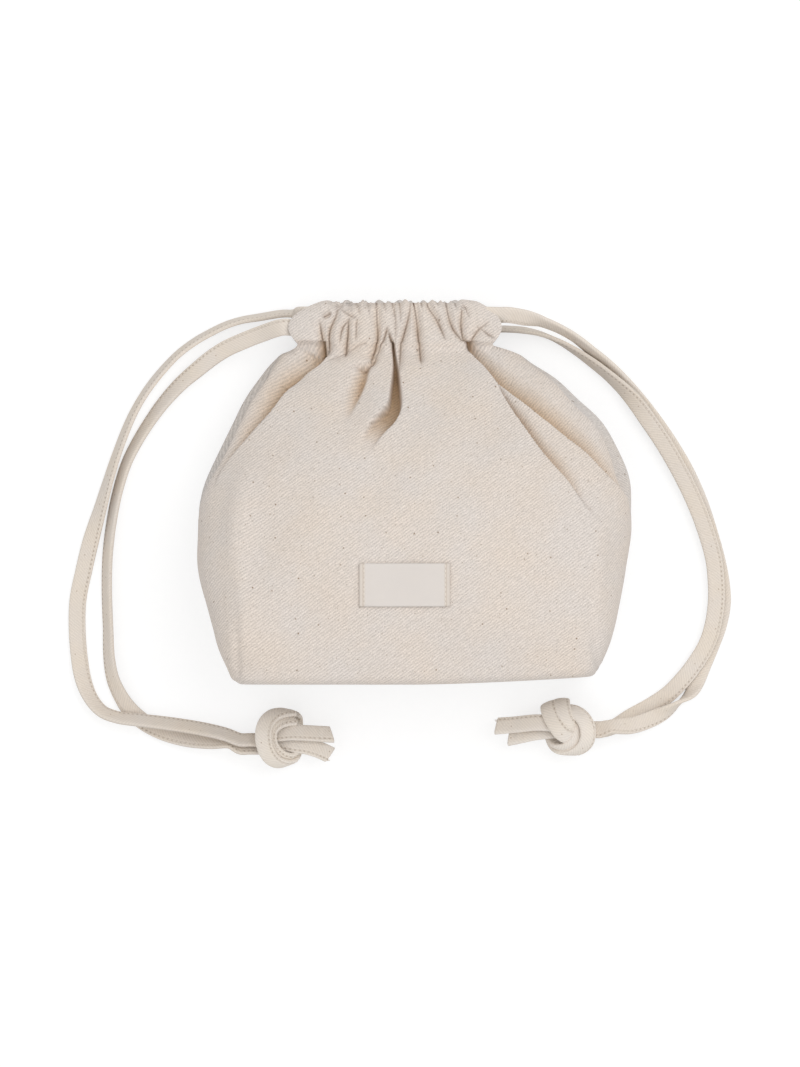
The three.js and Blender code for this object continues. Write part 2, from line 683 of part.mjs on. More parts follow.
// An overhand knot in the doubled tape, about its own middle. The cord comes in from -X, runs through
// the knot, turns up and round behind, comes over the front, dives in again beside itself and leaves
// towards +X.
// Each row is a place and the way that the doubled tape's flat side faces there.
const KNOT_PATH = [
  [-11, 0, 0, 0, 0.71, 0.71],
  [-6, -1.6, -0.6, 0, 0.9, 0.43],
  [0, -3, -1.2, 0, 1, 0.1],
  [5.5, -2.4, -1.4, -0.5, 0.86, 0],
  [9.2, 2.4, -1, -1, 0.1, 0],
  [7.8, 8.4, -0.8, -0.7, -0.7, 0],
  [3.4, 11.6, -3, 0, -0.8, 0.6],
  [1, 7.6, -7.6, 0, -0.5, 0.86],
  [0, -1, -8.8, 0, 0.1, 1],
  [-1, -9, -6.4, 0, 0.75, 0.66],
  [-2, -12, -0.4, 0, 1, 0.03],
  [-3.2, -9, 6, 0, 0.75, -0.66],
  [-4, -0.6, 8.8, 0, 0.05, -1],
  [-4.6, 7.4, 7, 0, -0.6, -0.8],
  [-6.4, 11.4, 1.6, 0, -1, -0.2],
  [-9, 8.6, -2.6, 0.7, -0.5, 0.5],
  [-5.6, 4.4, -1.6, 0.4, -0.9, 0.1],
  [1, 2.8, 1.6, 0, -1, 0.2],
  [8, 1.4, 5, -0.4, -0.85, -0.3],
  [13, 0.4, 4.4, 0, -0.6, -0.8],
];
const KNOT_ENTRY = -KNOT_PATH[0][0];
const KNOT_EXIT = KNOT_PATH[KNOT_PATH.length - 1];
const KNOT_FACING = point(0, Math.SQRT1_2, Math.SQRT1_2);
const KNOT_TWIST = Math.PI / 4;
const TAIL_FACING = point(0, 0.6, 0.8);

// The knot as one lump: stretches of the doubled tape joined where they cross
function knot(out) {
  const [knotX, knotY] = out > 0 ? RIGHT_KNOT : LEFT_KNOT;
  const placed = ([x, y, z]) => point(knotX - out * x, knotY + y, KNOT_LIFT + z);
  const curve = new THREE.CatmullRomCurve3(KNOT_PATH.map(placed), false, "centripetal");
  const spans = KNOT_PATH.length - 1;
  const perSpan = 2;
  const places = steps(spans * perSpan).map((s) => curve.getPoint(s));
  const facings = places.map((_, i) => {
    const at = i / perSpan;
    const from = Math.min(Math.floor(at), spans - 1);
    const [a, b] = [KNOT_PATH[from], KNOT_PATH[from + 1]];
    const mixed = [3, 4, 5].map((k) => THREE.MathUtils.lerp(a[k], b[k], at - from));
    return point(-out * mixed[0], mixed[1], mixed[2]);
  });
  const squareEnd = point(out * KNOT_END, 0, 0); // both ends run straight, along the cord
  places.unshift(places[0].clone().add(squareEnd));
  facings.unshift(facings[0]);
  places.push(places[places.length - 1].clone().sub(squareEnd));
  facings.push(facings[facings.length - 1]);
  const stretch = 8; // rings in one stretch
  let made = null;
  for (let first = 0; first + 1 < places.length; first += stretch) {
    const rings = [first, first + stretch + 1];
    const thick = 2 * TAPE_THICK;
    const piece = solidOf(tape(places.slice(...rings), facings.slice(...rings), TAPE_WIDTH, thick));
    made = made ? made.add(piece) : piece;
  }
  return geometryFrom(made);
}

// A cut end of tape beyond its knot: above is 1 for the upper of the two and -1 for the lower,
// and aside is where the pair's ends lie beside the knot's middle
function tail(out, above, length, aside) {
  const [knotX, knotY] = out > 0 ? RIGHT_KNOT : LEFT_KNOT;
  const [exitX, exitY, exitZ] = KNOT_EXIT;
  const start = point(knotX - out * (exitX + KNOT_END + KNOT_CLEAR), knotY + exitY, KNOT_LIFT + exitZ);
  const turning = start.clone().add(point(-out * KNOT_END, 0, 0));
  const finish = point(start.x - out * length, knotY + aside, TAIL_SPREAD + TAPE_WIDTH / 2);
  const third = point((turning.x - finish.x) / 3, 0, 0);
  const handles = [turning.clone().sub(third), finish.clone().add(third)];
  const curve = new THREE.CubicBezierCurve3(turning, ...handles, finish);
  const together = (TAPE_THICK + LANE_GAP) / 2;
  const places = [start.addScaledVector(TAIL_FACING, above * together)];
  for (const s of steps(6)) {
    const apart = THREE.MathUtils.lerp(together, TAIL_SPREAD, THREE.MathUtils.smoothstep(s, 0, 1));
    places.push(curve.getPoint(s).addScaledVector(TAIL_FACING, above * apart));
  }
  return tape(places, places.map(() => TAIL_FACING));
}

// The whole pouch

const pouch = new THREE.Group();
pouch.add(
  named("front_panel", frontPanel(), CANVAS),
  named("back_panel", backPanel(), CANVAS),
  named("left_side_seam", sideSeam(-1), CANVAS),
  named("right_side_seam", sideSeam(1), CANVAS),
  named("base_seam", baseSeam(), CANVAS),
  named("left_corner_seam", cornerSeam(-1), CANVAS),
  named("right_corner_seam", cornerSeam(1), CANVAS),
  named("front_casing", casing(1), CANVAS),
  named("back_casing", casing(-1), CANVAS),
  named("label", label(), LABEL),
  named("label_left_stitch", labelStitch(-1), LABEL),
  named("label_right_stitch", labelStitch(1), LABEL),
  named("left_cord_mouth_loop", mouthLoop(1, LOW_LANE, HIGH_LANE), TAPE),
  named("left_cord_front_strand", strand(-1, LOW_LANE, FRONT_LANE, LEFT_FRONT_ROUTE, -1), TAPE),
  named("left_cord_back_strand", strand(-1, HIGH_LANE, BACK_LANE, LEFT_BACK_ROUTE, 1), TAPE),
  named("left_knot", knot(-1), TAPE),
  named("left_cord_upper_tail", tail(-1, 1, 13, -0.3), TAPE),
  named("left_cord_lower_tail", tail(-1, -1, 13, -5.4), TAPE),
  named("right_cord_mouth_loop", mouthLoop(-1, HIGH_LANE, LOW_LANE), TAPE),
  named("right_cord_front_strand", strand(1, HIGH_LANE, FRONT_LANE, RIGHT_FRONT_ROUTE, 1, 1), TAPE),
  named("right_cord_back_strand", strand(1, LOW_LANE, BACK_LANE, RIGHT_BACK_ROUTE, -1), TAPE),
  named("right_knot", knot(1), TAPE),
  named("right_cord_upper_tail", tail(1, 1, 20, -1.9), TAPE),
  named("right_cord_lower_tail", tail(1, -1, 13, -2.7), TAPE),
);

export default pouch;
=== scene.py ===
"""A cream cotton twill drawstring pouch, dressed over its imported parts.

Metres, in the frame of the parts: X across the bag, Y from its base to its mouth, Z up from the
surface that it lies on. The bag lies on its back, with its mouth drawn closed by two knotted tapes.
"""
import math

import bmesh
import bpy
import numpy as np
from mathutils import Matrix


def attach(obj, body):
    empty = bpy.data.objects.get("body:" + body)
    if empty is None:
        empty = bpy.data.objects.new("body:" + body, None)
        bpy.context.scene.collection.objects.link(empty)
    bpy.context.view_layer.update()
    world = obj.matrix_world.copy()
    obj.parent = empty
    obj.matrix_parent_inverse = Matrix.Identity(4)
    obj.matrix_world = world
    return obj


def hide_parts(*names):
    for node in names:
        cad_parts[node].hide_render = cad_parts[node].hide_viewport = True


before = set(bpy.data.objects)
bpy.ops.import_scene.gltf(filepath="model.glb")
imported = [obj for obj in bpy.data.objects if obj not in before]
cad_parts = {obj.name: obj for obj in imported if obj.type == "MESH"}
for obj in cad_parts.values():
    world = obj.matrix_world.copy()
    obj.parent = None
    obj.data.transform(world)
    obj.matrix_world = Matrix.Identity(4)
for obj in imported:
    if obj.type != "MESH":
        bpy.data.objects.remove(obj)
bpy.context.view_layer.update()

# The bag's body
BAG_HEIGHT = 0.191
BASE_WIDTH = 0.181
BASE_DEPTH = 0.084
BODY_WIDTH = 0.217
WIDEST_HEIGHT = 0.077
CROWN_RISE = 0.007
CROWN_HEIGHT = 0.048
FLOOR_SAG = 0.005
SHOULDER_POWER = 2.1
HIP_POWER = 1.7
BASE_SQUARENESS = 10
BODY_SQUARENESS = 2.8
SQUARE_HEIGHT = 0.066
BASE_ROUND = 0.004
CLOTH = 0.0008

# The gathered neck and its casings
NECK_WIDTH = 0.105
NECK_SHIFT = -0.01
NECK_REST = 0.001
SHIFT_HEIGHT = 0.095
CASING_HEIGHT = 0.023
CASING_THICK = 0.01
MOUTH_GAP = 0.009
RIM_ROUND = CASING_THICK / 2

# The tapes and their knots
TAPE_WIDTH = 0.0085
TAPE_THICK = 0.0024
LANE_GAP = 0.0007
STUB = 0.046
TURN_REACH = 0.008
TURN_MARGIN = 0.001
KNOT_LIFT = 0.0118
LEFT_KNOT = (-0.07, -0.1242)
RIGHT_KNOT = (0.0755, -0.1184)

# The label and the seam allowances
LABEL_WIDTH = 0.045
LABEL_HEIGHT = 0.0215
LABEL_ASIDE = -0.0052
LABEL_ABOVE = 0.049
LABEL_THICK = 0.0008
STITCH_INSET = 0.0026
ALLOWANCE = 0.008

# Places that follow from the sizes
BODY_HEIGHT = BAG_HEIGHT - CASING_HEIGHT
BASE_Y = -BAG_HEIGHT / 2
NECK_TOP = NECK_REST + 2 * CASING_THICK + MOUTH_GAP
LEFT_END = NECK_SHIFT - NECK_WIDTH / 2
RIGHT_END = NECK_SHIFT + NECK_WIDTH / 2
CASING_Y = BAG_HEIGHT / 2 - CASING_HEIGHT / 2
LOW_LANE = CASING_Y - (TAPE_WIDTH + LANE_GAP) / 2
HIGH_LANE = CASING_Y + (TAPE_WIDTH + LANE_GAP) / 2
FRONT_LANE = NECK_TOP - CASING_THICK / 2
BACK_LANE = NECK_REST + CASING_THICK / 2


# Small helpers

def share(value, start, end):
    return np.clip((value - start) / (end - start), 0, 1)


def ease(value, start, end):
    part = share(value, start, end)
    return part * part * (3 - 2 * part)


def signed_power(value, power):
    return np.sign(value) * np.abs(value) ** power


def unit(vectors):
    return vectors / np.linalg.norm(vectors, axis=-1, keepdims=True)


def lengths_along(points):
    steps = np.linalg.norm(np.diff(points, axis=0), axis=1)
    return np.concatenate([[0], np.cumsum(steps)])


def spaced(points, count):
    """The line through points as count evenly long steps."""
    run = lengths_along(points)
    wanted = np.linspace(0, run[-1], count + 1)
    return np.stack([np.interp(wanted, run, points[:, k]) for k in range(points.shape[1])], axis=1)


def smooth_line(points, per_span):
    """A centripetal spline through points. Columns after the first three run evenly between points."""
    rows = np.asarray(points, float)
    places = rows[:, :3]
    ends = [2 * places[0] - places[1]], [2 * places[-1] - places[-2]]
    padded = np.concatenate([ends[0], places, ends[1]])
    knots = np.concatenate([[0], np.cumsum(np.linalg.norm(np.diff(padded, axis=0), axis=1) ** 0.5)])
    line = []
    for i in range(len(places) - 1):
        p0, p1, p2, p3 = padded[i:i + 4]
        t0, t1, t2, t3 = knots[i:i + 4]
        last = i == len(places) - 2
        for s in np.arange(per_span + last) / per_span:
            t = t1 + s * (t2 - t1)
            a1 = (t1 - t) / (t1 - t0) * p0 + (t - t0) / (t1 - t0) * p1
            a2 = (t2 - t) / (t2 - t1) * p1 + (t - t1) / (t2 - t1) * p2
            a3 = (t3 - t) / (t3 - t2) * p2 + (t - t2) / (t3 - t2) * p3
            b1 = (t2 - t) / (t2 - t0) * a1 + (t - t0) / (t2 - t0) * a2
            b2 = (t3 - t) / (t3 - t1) * a2 + (t - t1) / (t3 - t1) * a3
            place = (t2 - t) / (t2 - t1) * b1 + (t - t1) / (t2 - t1) * b2
            rest = (1 - s) * rows[i, 3:] + s * rows[i + 1, 3:]
            line.append(np.concatenate([place, rest]))
    return np.array(line)


def new_object(name, mesh, material):
    made = bpy.data.objects.new(name, mesh)
    bpy.context.scene.collection.objects.link(made)
    if material:
        mesh.materials.append(material)
    return made


def grid_object(name, grid, uv, material, turned=False, wrapped=False):
    """A mesh over rows of points. A wrapped grid is a closed tube with capped ends."""
    rows, columns = grid.shape[:2]
    index = np.arange(rows * columns).reshape(rows, columns)
    if wrapped:
        index = np.concatenate([index, index[:, :1]], axis=1)
    corners = [(slice(None, -1), slice(None, -1)), (slice(None, -1), slice(1, None)),
               (slice(1, None), slice(1, None)), (slice(1, None), slice(None, -1))]
    if turned:
        corners.reverse()
    quads = np.stack([index[c] for c in corners], axis=-1).reshape(-1, 4)
    spots = np.stack([uv[c] for c in corners], axis=2).reshape(-1, 2)
    faces = quads.tolist()
    if wrapped:
        faces.append(index[0, :-1].tolist())
        faces.append(index[-1, -2::-1].tolist())
        spots = np.concatenate([spots, uv[0, :-1], uv[-1, -2::-1]])
    mesh = bpy.data.meshes.new(name)
    mesh.from_pydata(grid.reshape(-1, 3).tolist(), [], faces)
    layer = mesh.uv_layers.new(name="cloth")
    layer.data.foreach_set("uv", spots.astype(np.float32).ravel())
    if wrapped:
        face_outwards(mesh)
    mesh.polygons.foreach_set("use_smooth", np.ones(len(mesh.polygons), bool))
    mesh.update()
    return new_object(name, mesh, material)


def face_outwards(mesh):
    shell = bmesh.new()
    shell.from_mesh(mesh)
    bmesh.ops.recalc_face_normals(shell, faces=shell.faces)
    shell.to_mesh(mesh)
    shell.free()


# Finishes: their colours, and how fine the weaves, specks and patches are
PLAIN = (1, 1, 1, 1)
CANVAS_COOL = (0.737, 0.673, 0.622, 1)
CANVAS_WARM = (0.757, 0.668, 0.59, 1)
# Painted shade: the back panel is the same cloth, made greyer as if it lay turned from the light
BACK_PAINTED_SHADE = (0.93, 0.96, 0.99, 1)
# Painted shade: a tan for the deep folds and a brown for the creases, where less light falls
FOLD_PAINTED_SHADE = (0.83, 0.66, 0.46, 1)
CREASE_PAINTED_SHADE = (0.24, 0.17, 0.13, 1)
SEED_BROWN = (0.2, 0.12, 0.06, 1)
TAPE_COOL = (0.765, 0.695, 0.625, 1)
TAPE_WARM = (0.78, 0.695, 0.6, 1)
# Painted light: the knots and tails get a brighter copy of the tape, against their own shade
KNOT_PAINTED_LIGHT = (1.08, 1.1, 1.12, 1)
TAPE_SEED = (0.3, 0.19, 0.1, 1)
# Painted shade for the stitched edge of the tapes
STITCH_PAINTED_SHADE = (0.35, 0.27, 0.2, 1)
LABEL_COOL = (0.716, 0.668, 0.63, 1)
LABEL_WARM = (0.742, 0.686, 0.638, 1)
LABEL_END_TINT = (0.97, 0.94, 0.9, 1)
LABEL_SEAM_SHADE = (0.7, 0.62, 0.54, 1)
THREAD_DARK = (0.72, 0.65, 0.57, 1)
THREAD_PALE = (0.84, 0.78, 0.7, 1)

# Ribs: their slant in degrees, how far apart they are, and how much they wander
CANVAS_WALES = (53, 0.0014, 3.0)
CANVAS_YARNS = (8, 0.00055, 2.5)
TAPE_WALES = (50, 0.0012, 1.8)
TAPE_YARNS = (0, 0.0005, 2.0)
LABEL_WARP = (0, 0.00042, 0.6)
LABEL_WEFT = (90, 0.00036, 0.6)

# Seeds: how far apart they are, and how large
BIG_SEEDS = (0.0115, 0.00054)
SMALL_SEEDS = (0.0047, 0.00036)
TAPE_SEEDS = (0.011, 0.0004)

# Uneven cloth: how many spots to a metre, and how finely they are broken up
FUZZ = (1500, 3)
SLUBS = (420, 2)
CANVAS_PATCHES = (30, 3)
TAPE_PATCHES = (45, 2)
LABEL_PATCHES = (90, 2)
THREAD_TWIST = (2600, 2)


def add_node(tree, kind, settings=None, inputs=None):
    made = tree.nodes.new(kind)
    for name, value in (settings or {}).items():
        setattr(made, name, value)
    for name, value in (inputs or {}).items():
        if isinstance(value, bpy.types.NodeSocket):
            tree.links.new(value, made.inputs[name])
        else:
            made.inputs[name].default_value = value
    return made


def cloth_material(name, roughness, sheen):
    material = bpy.data.materials.new(name)
    material.use_nodes = True
    shader = material.node_tree.nodes["Principled BSDF"]
    shader.inputs["Roughness"].default_value = roughness
    shader.inputs["Specular IOR Level"].default_value = 0.15
    shader.inputs["Sheen Weight"].default_value = sheen
    shader.inputs["Sheen Roughness"].default_value = 0.6
    return material, material.node_tree, shader


def ribs(tree, uv, degrees, pitch, wobble):
    """Soft stripes across the cloth, one for each pitch."""
    slant = (0, 0, math.radians(degrees))
    turned = add_node(tree, "ShaderNodeMapping", {}, {"Vector": uv, "Rotation": slant})
    inputs = {
        "Vector": turned.outputs["Vector"],
        "Scale": 2 * math.pi / (20 * pitch),
        "Distortion": wobble,
        "Detail": 2.0,
        "Detail Scale": 1.5,
    }
    settings = {"wave_type": "BANDS", "bands_direction": "X", "wave_profile": "SIN"}
    return add_node(tree, "ShaderNodeTexWave", settings, inputs).outputs["Fac"]


def ranged(tree, value, low, high, start=0.0, end=1.0):
    inputs = {"Value": value, "From Min": low, "From Max": high, "To Min": start, "To Max": end}
    return add_node(tree, "ShaderNodeMapRange", {}, inputs).outputs["Result"]


def reckon(tree, operation, a, b):
    return add_node(tree, "ShaderNodeMath", {"operation": operation}, {0: a, 1: b}).outputs["Value"]


def multiplied(tree, a, b):
    return reckon(tree, "MULTIPLY", a, b)


def away_from(tree, value, place):
    """How far a value lies from a place, to either side of it."""
    return reckon(tree, "ABSOLUTE", reckon(tree, "SUBTRACT", value, place), 0.0)


def mixed(tree, blend, amount, first, second):
    inputs = {"Factor": amount, 6: first, 7: second}
    settings = {"data_type": "RGBA", "blend_type": blend}
    return add_node(tree, "ShaderNodeMix", settings, inputs).outputs[2]


def tinted(tree, amount, colour, tint):
    return mixed(tree, "MULTIPLY", amount, colour, tint)


def patched(tree, patch, cool, warm):
    """A colour that wanders from a cool one to a warm one."""
    return mixed(tree, "MIX", ranged(tree, patch, 0.35, 0.65), cool, warm)


def flat_cloth(tree):
    """Where a point lies on the cloth before it is sewn."""
    return add_node(tree, "ShaderNodeUVMap", {"uv_map": "cloth"}).outputs["UV"]


def noted(tree, name):
    """What was noted at the points of the cloth under that name."""
    return add_node(tree, "ShaderNodeAttribute", {"attribute_name": name}).outputs["Fac"]


def noise(tree, uv, scale, detail):
    inputs = {"Vector": uv, "Scale": scale, "Detail": detail, "Roughness": 0.55}
    return add_node(tree, "ShaderNodeTexNoise", {}, inputs).outputs["Fac"]


def seed_specks(tree, uv, spacing, radius):
    """Brown flecks of cotton seed, about one for each square of that spacing."""
    settings = {"feature": "F1", "voronoi_dimensions": "2D"}
    cells = add_node(tree, "ShaderNodeTexVoronoi", settings, {"Vector": uv, "Scale": 1 / spacing})
    near = ranged(tree, cells.outputs["Distance"], radius / spacing, 0.4 * radius / spacing)
    parts = add_node(tree, "ShaderNodeSeparateColor", {}, {"Color": cells.outputs["Color"]})
    return multiplied(tree, near, ranged(tree, parts.outputs["Red"], 0.35, 1.0))


def woven_height(tree, wale, yarn, fuzz):
    body = multiplied(tree, wale, 0.6)
    body = reckon(tree, "ADD", body, multiplied(tree, yarn, 0.22))
    return reckon(tree, "ADD", body, multiplied(tree, fuzz, 0.35))


def raise_bump(tree, shader, height, strength, distance):
    inputs = {"Height": height, "Strength": strength, "Distance": distance}
    bump = add_node(tree, "ShaderNodeBump", {}, inputs)
    tree.links.new(bump.outputs["Normal"], shader.inputs["Normal"])


def canvas_cloth(name, tint):
    """Cream twill: slanting wales, seed specks, faint warm and cool patches, painted tan shade in the deep
    folds and painted brown shade along the creases.
    """
    material, tree, shader = cloth_material(name, 0.93, 0.12)
    uv = flat_cloth(tree)
    wale = ribs(tree, uv, *CANVAS_WALES)
    yarn = ribs(tree, uv, *CANVAS_YARNS)
    fuzz = noise(tree, uv, *FUZZ)
    slub = noise(tree, uv, *SLUBS)
    colour = patched(tree, noise(tree, uv, *CANVAS_PATCHES), CANVAS_COOL, CANVAS_WARM)
    colour = tinted(tree, 1.0, colour, tint)
    shade = multiplied(tree, ranged(tree, wale, 0, 1, 0.87, 1.07), ranged(tree, slub, 0.3, 0.7, 0.94, 1.05))
    shade = multiplied(tree, shade, ranged(tree, fuzz, 0.3, 0.7, 0.8, 1.14))
    colour = tinted(tree, 1.0, colour, shade)
    # Painted tan shade, fuller the deeper the cloth lies in a fold
    colour = tinted(tree, noted(tree, "fold"), colour, FOLD_PAINTED_SHADE)
    # Painted brown shade along the creases of the gathers, the overlaps and the pleat
    colour = tinted(tree, noted(tree, "crease"), colour, CREASE_PAINTED_SHADE)
    small = multiplied(tree, seed_specks(tree, uv, *SMALL_SEEDS), 0.6)
    specks = reckon(tree, "MAXIMUM", seed_specks(tree, uv, *BIG_SEEDS), small)
    colour = mixed(tree, "MIX", specks, colour, SEED_BROWN)
    tree.links.new(colour, shader.inputs["Base Color"])
    raise_bump(tree, shader, woven_height(tree, wale, yarn, fuzz), 0.55, 0.0003)
    return material


def sewn_edge_shade(tree, uv):
    """Painted shade where the tape's stitching pulls it in, most of all at the needle holes."""
    parts = add_node(tree, "ShaderNodeSeparateXYZ", {}, {"Vector": uv}).outputs
    below = multiplied(tree, reckon(tree, "GREATER_THAN", parts["X"], UNDER_SIDE / 2), UNDER_SIDE)
    across = reckon(tree, "SUBTRACT", parts["X"], below)
    line = ranged(tree, away_from(tree, across, TAPE_WIDTH / 2 - EDGE_STITCH), 0.0006, 0.0002)
    along = reckon(tree, "MODULO", parts["Y"], STITCH_STEP)
    hole = ranged(tree, away_from(tree, along, STITCH_STEP / 2), 0.0008, 0.0003, 0.3, 1.0)
    return multiplied(tree, line, hole)


def tape_cloth(name, tint):
    """Folded twill tape: fine close wales, a few specks, and painted shade along a sewn edge."""
    material, tree, shader = cloth_material(name, 0.92, 0.12)
    uv = flat_cloth(tree)
    wale = ribs(tree, uv, *TAPE_WALES)
    yarn = ribs(tree, uv, *TAPE_YARNS)
    fuzz = noise(tree, uv, *FUZZ)
    colour = patched(tree, noise(tree, uv, *TAPE_PATCHES), TAPE_COOL, TAPE_WARM)
    colour = tinted(tree, 1.0, colour, tint)
    colour = tinted(tree, 1.0, colour, ranged(tree, wale, 0, 1, 0.94, 1.02))
    specks = multiplied(tree, seed_specks(tree, uv, *TAPE_SEEDS), 0.75)
    colour = mixed(tree, "MIX", specks, colour, TAPE_SEED)
    # Painted shade along the stitched groove and in the needle holes
    colour = tinted(tree, multiplied(tree, sewn_edge_shade(tree, uv), 0.5), colour, STITCH_PAINTED_SHADE)
    tree.links.new(colour, shader.inputs["Base Color"])
    raise_bump(tree, shader, woven_height(tree, wale, yarn, fuzz), 0.5, 0.0003)
    return material


def label_cloth():
    """A close, smooth woven label, paler than the canvas, with a seam near each short end and painted shade
    beside each seam.
    """
    material, tree, shader = cloth_material("pale_label", 0.78, 0.08)
    uv = flat_cloth(tree)
    weave = multiplied(tree, ribs(tree, uv, *LABEL_WARP), ribs(tree, uv, *LABEL_WEFT))
    colour = mixed(tree, "MIX", noise(tree, uv, *LABEL_PATCHES), LABEL_COOL, LABEL_WARM)
    colour = tinted(tree, 1.0, colour, ranged(tree, weave, 0, 1, 0.95, 1.02))
    across = add_node(tree, "ShaderNodeSeparateXYZ", {}, {"Vector": uv}).outputs["X"]
    outward = away_from(tree, across, LABEL_ASIDE)
    past_seam = reckon(tree, "SUBTRACT", outward, LABEL_WIDTH / 2 - STITCH_INSET)
    colour = tinted(tree, ranged(tree, past_seam, -0.0006, 0.0004), colour, LABEL_END_TINT)
    # Painted shade in a thin line beside each seam, where the stitching pulls the label in
    near_seam = ranged(tree, away_from(tree, past_seam, 0.0006), 0.0006, 0.0002, 0, 0.35)
    colour = tinted(tree, near_seam, colour, LABEL_SEAM_SHADE)
    tree.links.new(colour, shader.inputs["Base Color"])
    raise_bump(tree, shader, weave, 0.3, 0.00015)
    return material


def sewing_thread():
    """Twisted cotton thread, a little brighter than the cloth."""
    material, tree, shader = cloth_material("cream_thread", 0.7, 0.1)
    place = add_node(tree, "ShaderNodeTexCoord").outputs["Object"]
    twist = noise(tree, place, *THREAD_TWIST)
    colour = mixed(tree, "MIX", twist, THREAD_DARK, THREAD_PALE)
    tree.links.new(colour, shader.inputs["Base Color"])
    raise_bump(tree, shader, twist, 0.3, 0.0001)
    return material


# The body's shape, at a height above the base

def half_width(height):
    up = share(height, WIDEST_HEIGHT, BODY_HEIGHT) ** SHOULDER_POWER
    down = share(height, WIDEST_HEIGHT, 0) ** HIP_POWER
    return BODY_WIDTH / 2 - (up * (BODY_WIDTH - NECK_WIDTH) + down * (BODY_WIDTH - BASE_WIDTH)) / 2


def middle_line(height):
    return NECK_SHIFT * share(height, SHIFT_HEIGHT, BODY_HEIGHT) ** 2


def front_level(height):
    up = share(height, CROWN_HEIGHT, BODY_HEIGHT) ** 2
    down = share(height, CROWN_HEIGHT, 0) ** 2
    return BASE_DEPTH + CROWN_RISE * (1 - down) - up * (BASE_DEPTH + CROWN_RISE - NECK_TOP)


def back_level(height):
    return NECK_REST * share(height, SHIFT_HEIGHT, BODY_HEIGHT)


def squareness(height):
    fade = (1 - share(height, 0, SQUARE_HEIGHT)) ** 2
    return BODY_SQUARENESS + fade * (BASE_SQUARENESS - BODY_SQUARENESS)


def seam_level(height):
    return (front_level(height) + back_level(height)) / 2


def front_face(x, height):
    n = squareness(height)
    outward = np.abs((x - middle_line(height)) / half_width(height)) ** n
    return seam_level(height) + (front_level(height) - seam_level(height)) * (1 - outward) ** (1 / n)


# The gusset's tuck: over the shoulders the front lies a little inside the back, with the seam drawn in
RIGHT_LAYER = 0.0044
LEFT_LAYER = 0.002
SEAM_GROOVE = 0.0008
SEAM_TUCK = 0.006
FRONT_TUCK = 0.008
BACK_TUCK = 0.004
GROOVE_SPREAD = 0.0015
SHOULDER_START = (0.08, 0.108)
SHOULDER_END = 0.14

# The outline as it lies: a fuller right shoulder, a flatter left one, and notches under the drawn casing
RIGHT_FULLNESS = 0.006
LEAN = -0.0012
LEFT_FLATNESS = 0.0016
NECK_FULLNESS = 0.0012
NECK_SLIMMING = 0.1
FULL_HEIGHTS = (0.078, 0.132)
NEAR_NECK = (0.148, 0.16)
FLAT_START = (0.085, 0.112)
FLAT_END = (0.13, 0.152)
LEAN_START = (0.006, 0.024)
LEAN_END = (0.056, 0.078)
NOTCH_START = 0.164
NOTCH_END = 0.1697
NOTCH_DEPTH = 0.0035
LOBE_HEIGHT = 0.177
LOBE_RISE = 0.001
LEFT_LOBE_CUT = 0.0165
RIGHT_LOBE_CUT = 0.0125
LOBE_ROUNDNESS = 2.4
NOTCH_ROUNDNESS = 1.5

# The base's line lies a little lower on the left, and its right corner higher
BASE_SINK = 0.0006
CORNER_LIFT = 0.0042
CORNER_REACH = 0.092
CORNER_POWER = 1.5
SETTLE_HEIGHT = 0.045


def over_shoulders(height):
    return ease(height, *SHOULDER_START) * (1 - ease(height, SHOULDER_END, BODY_HEIGHT))


def fullness(height, side):
    near_neck = ease(height, *NEAR_NECK)
    if side > 0:
        return RIGHT_FULLNESS * ease(height, *FULL_HEIGHTS) * (1 - NECK_SLIMMING * near_neck)
    flat = ease(height, *FLAT_START) * (1 - ease(height, *FLAT_END))
    return NECK_FULLNESS * near_neck - LEFT_FLATNESS * flat


def lobe_reach(height, side):
    """Half of the casing's width there: round at the rim's corners, and drawn in at the neck."""
    above = share(height, LOBE_HEIGHT, BAG_HEIGHT) ** LOBE_ROUNDNESS
    below = share(height, LOBE_HEIGHT, NOTCH_END) ** NOTCH_ROUNDNESS
    cut = RIGHT_LOBE_CUT if side > 0 else LEFT_LOBE_CUT
    return NECK_WIDTH / 2 + LOBE_RISE - cut * above - (NOTCH_DEPTH + LOBE_RISE) * below


def outline_at(height, side):
    """How far the outline lies to a side there: the body's, and above the notch the casing's."""
    lean = LEAN * ease(height, *LEAN_START) * (1 - ease(height, *LEAN_END))
    body = middle_line(height) + lean + side * (half_width(height) + fullness(height, side))
    casing = NECK_SHIFT + side * lobe_reach(height, side)
    return body + ease(height, NOTCH_START, NOTCH_END) * (casing - body)


def fit_outline(x, z, height, facing, set_in):
    """Draws the seam in between the two panels, and brings both back out to the bag's outline."""
    shoulders = over_shoulders(height)
    near_seam = np.exp(-(z / (FRONT_TUCK if facing > 0 else BACK_TUCK)) ** 2)
    placed = np.empty_like(x)
    for side, layer, first in ((1, RIGHT_LAYER, 0), (-1, LEFT_LAYER, -1)):
        here = x * side >= 0
        reach = side * (outline_at(height, side) - middle_line(height)) - set_in
        seam = reach - (layer + SEAM_TUCK) * shoulders
        drawn = np.abs(x) - SEAM_TUCK * shoulders * near_seam
        drawn = drawn * (reach - layer * shoulders * (facing > 0)) / drawn[here].max()
        drawn += (seam - drawn[first]) * near_seam
        placed[here] = side * drawn[here]
    return placed - np.sign(placed) * SEAM_GROOVE * np.exp(-(z / GROOVE_SPREAD) ** 2)


def settle(places):
    """The base's right corner, lifted a little along the surface that the bag lies on."""
    lift = CORNER_LIFT * share(places[..., 0], 0, CORNER_REACH) ** CORNER_POWER - BASE_SINK
    settled = places.copy()
    settled[..., 1] += lift * (1 - ease(places[..., 1], BASE_Y, BASE_Y + SETTLE_HEIGHT))
    return settled


# How finely each part of a row is followed before it is spaced out
RING_STEPS = 90


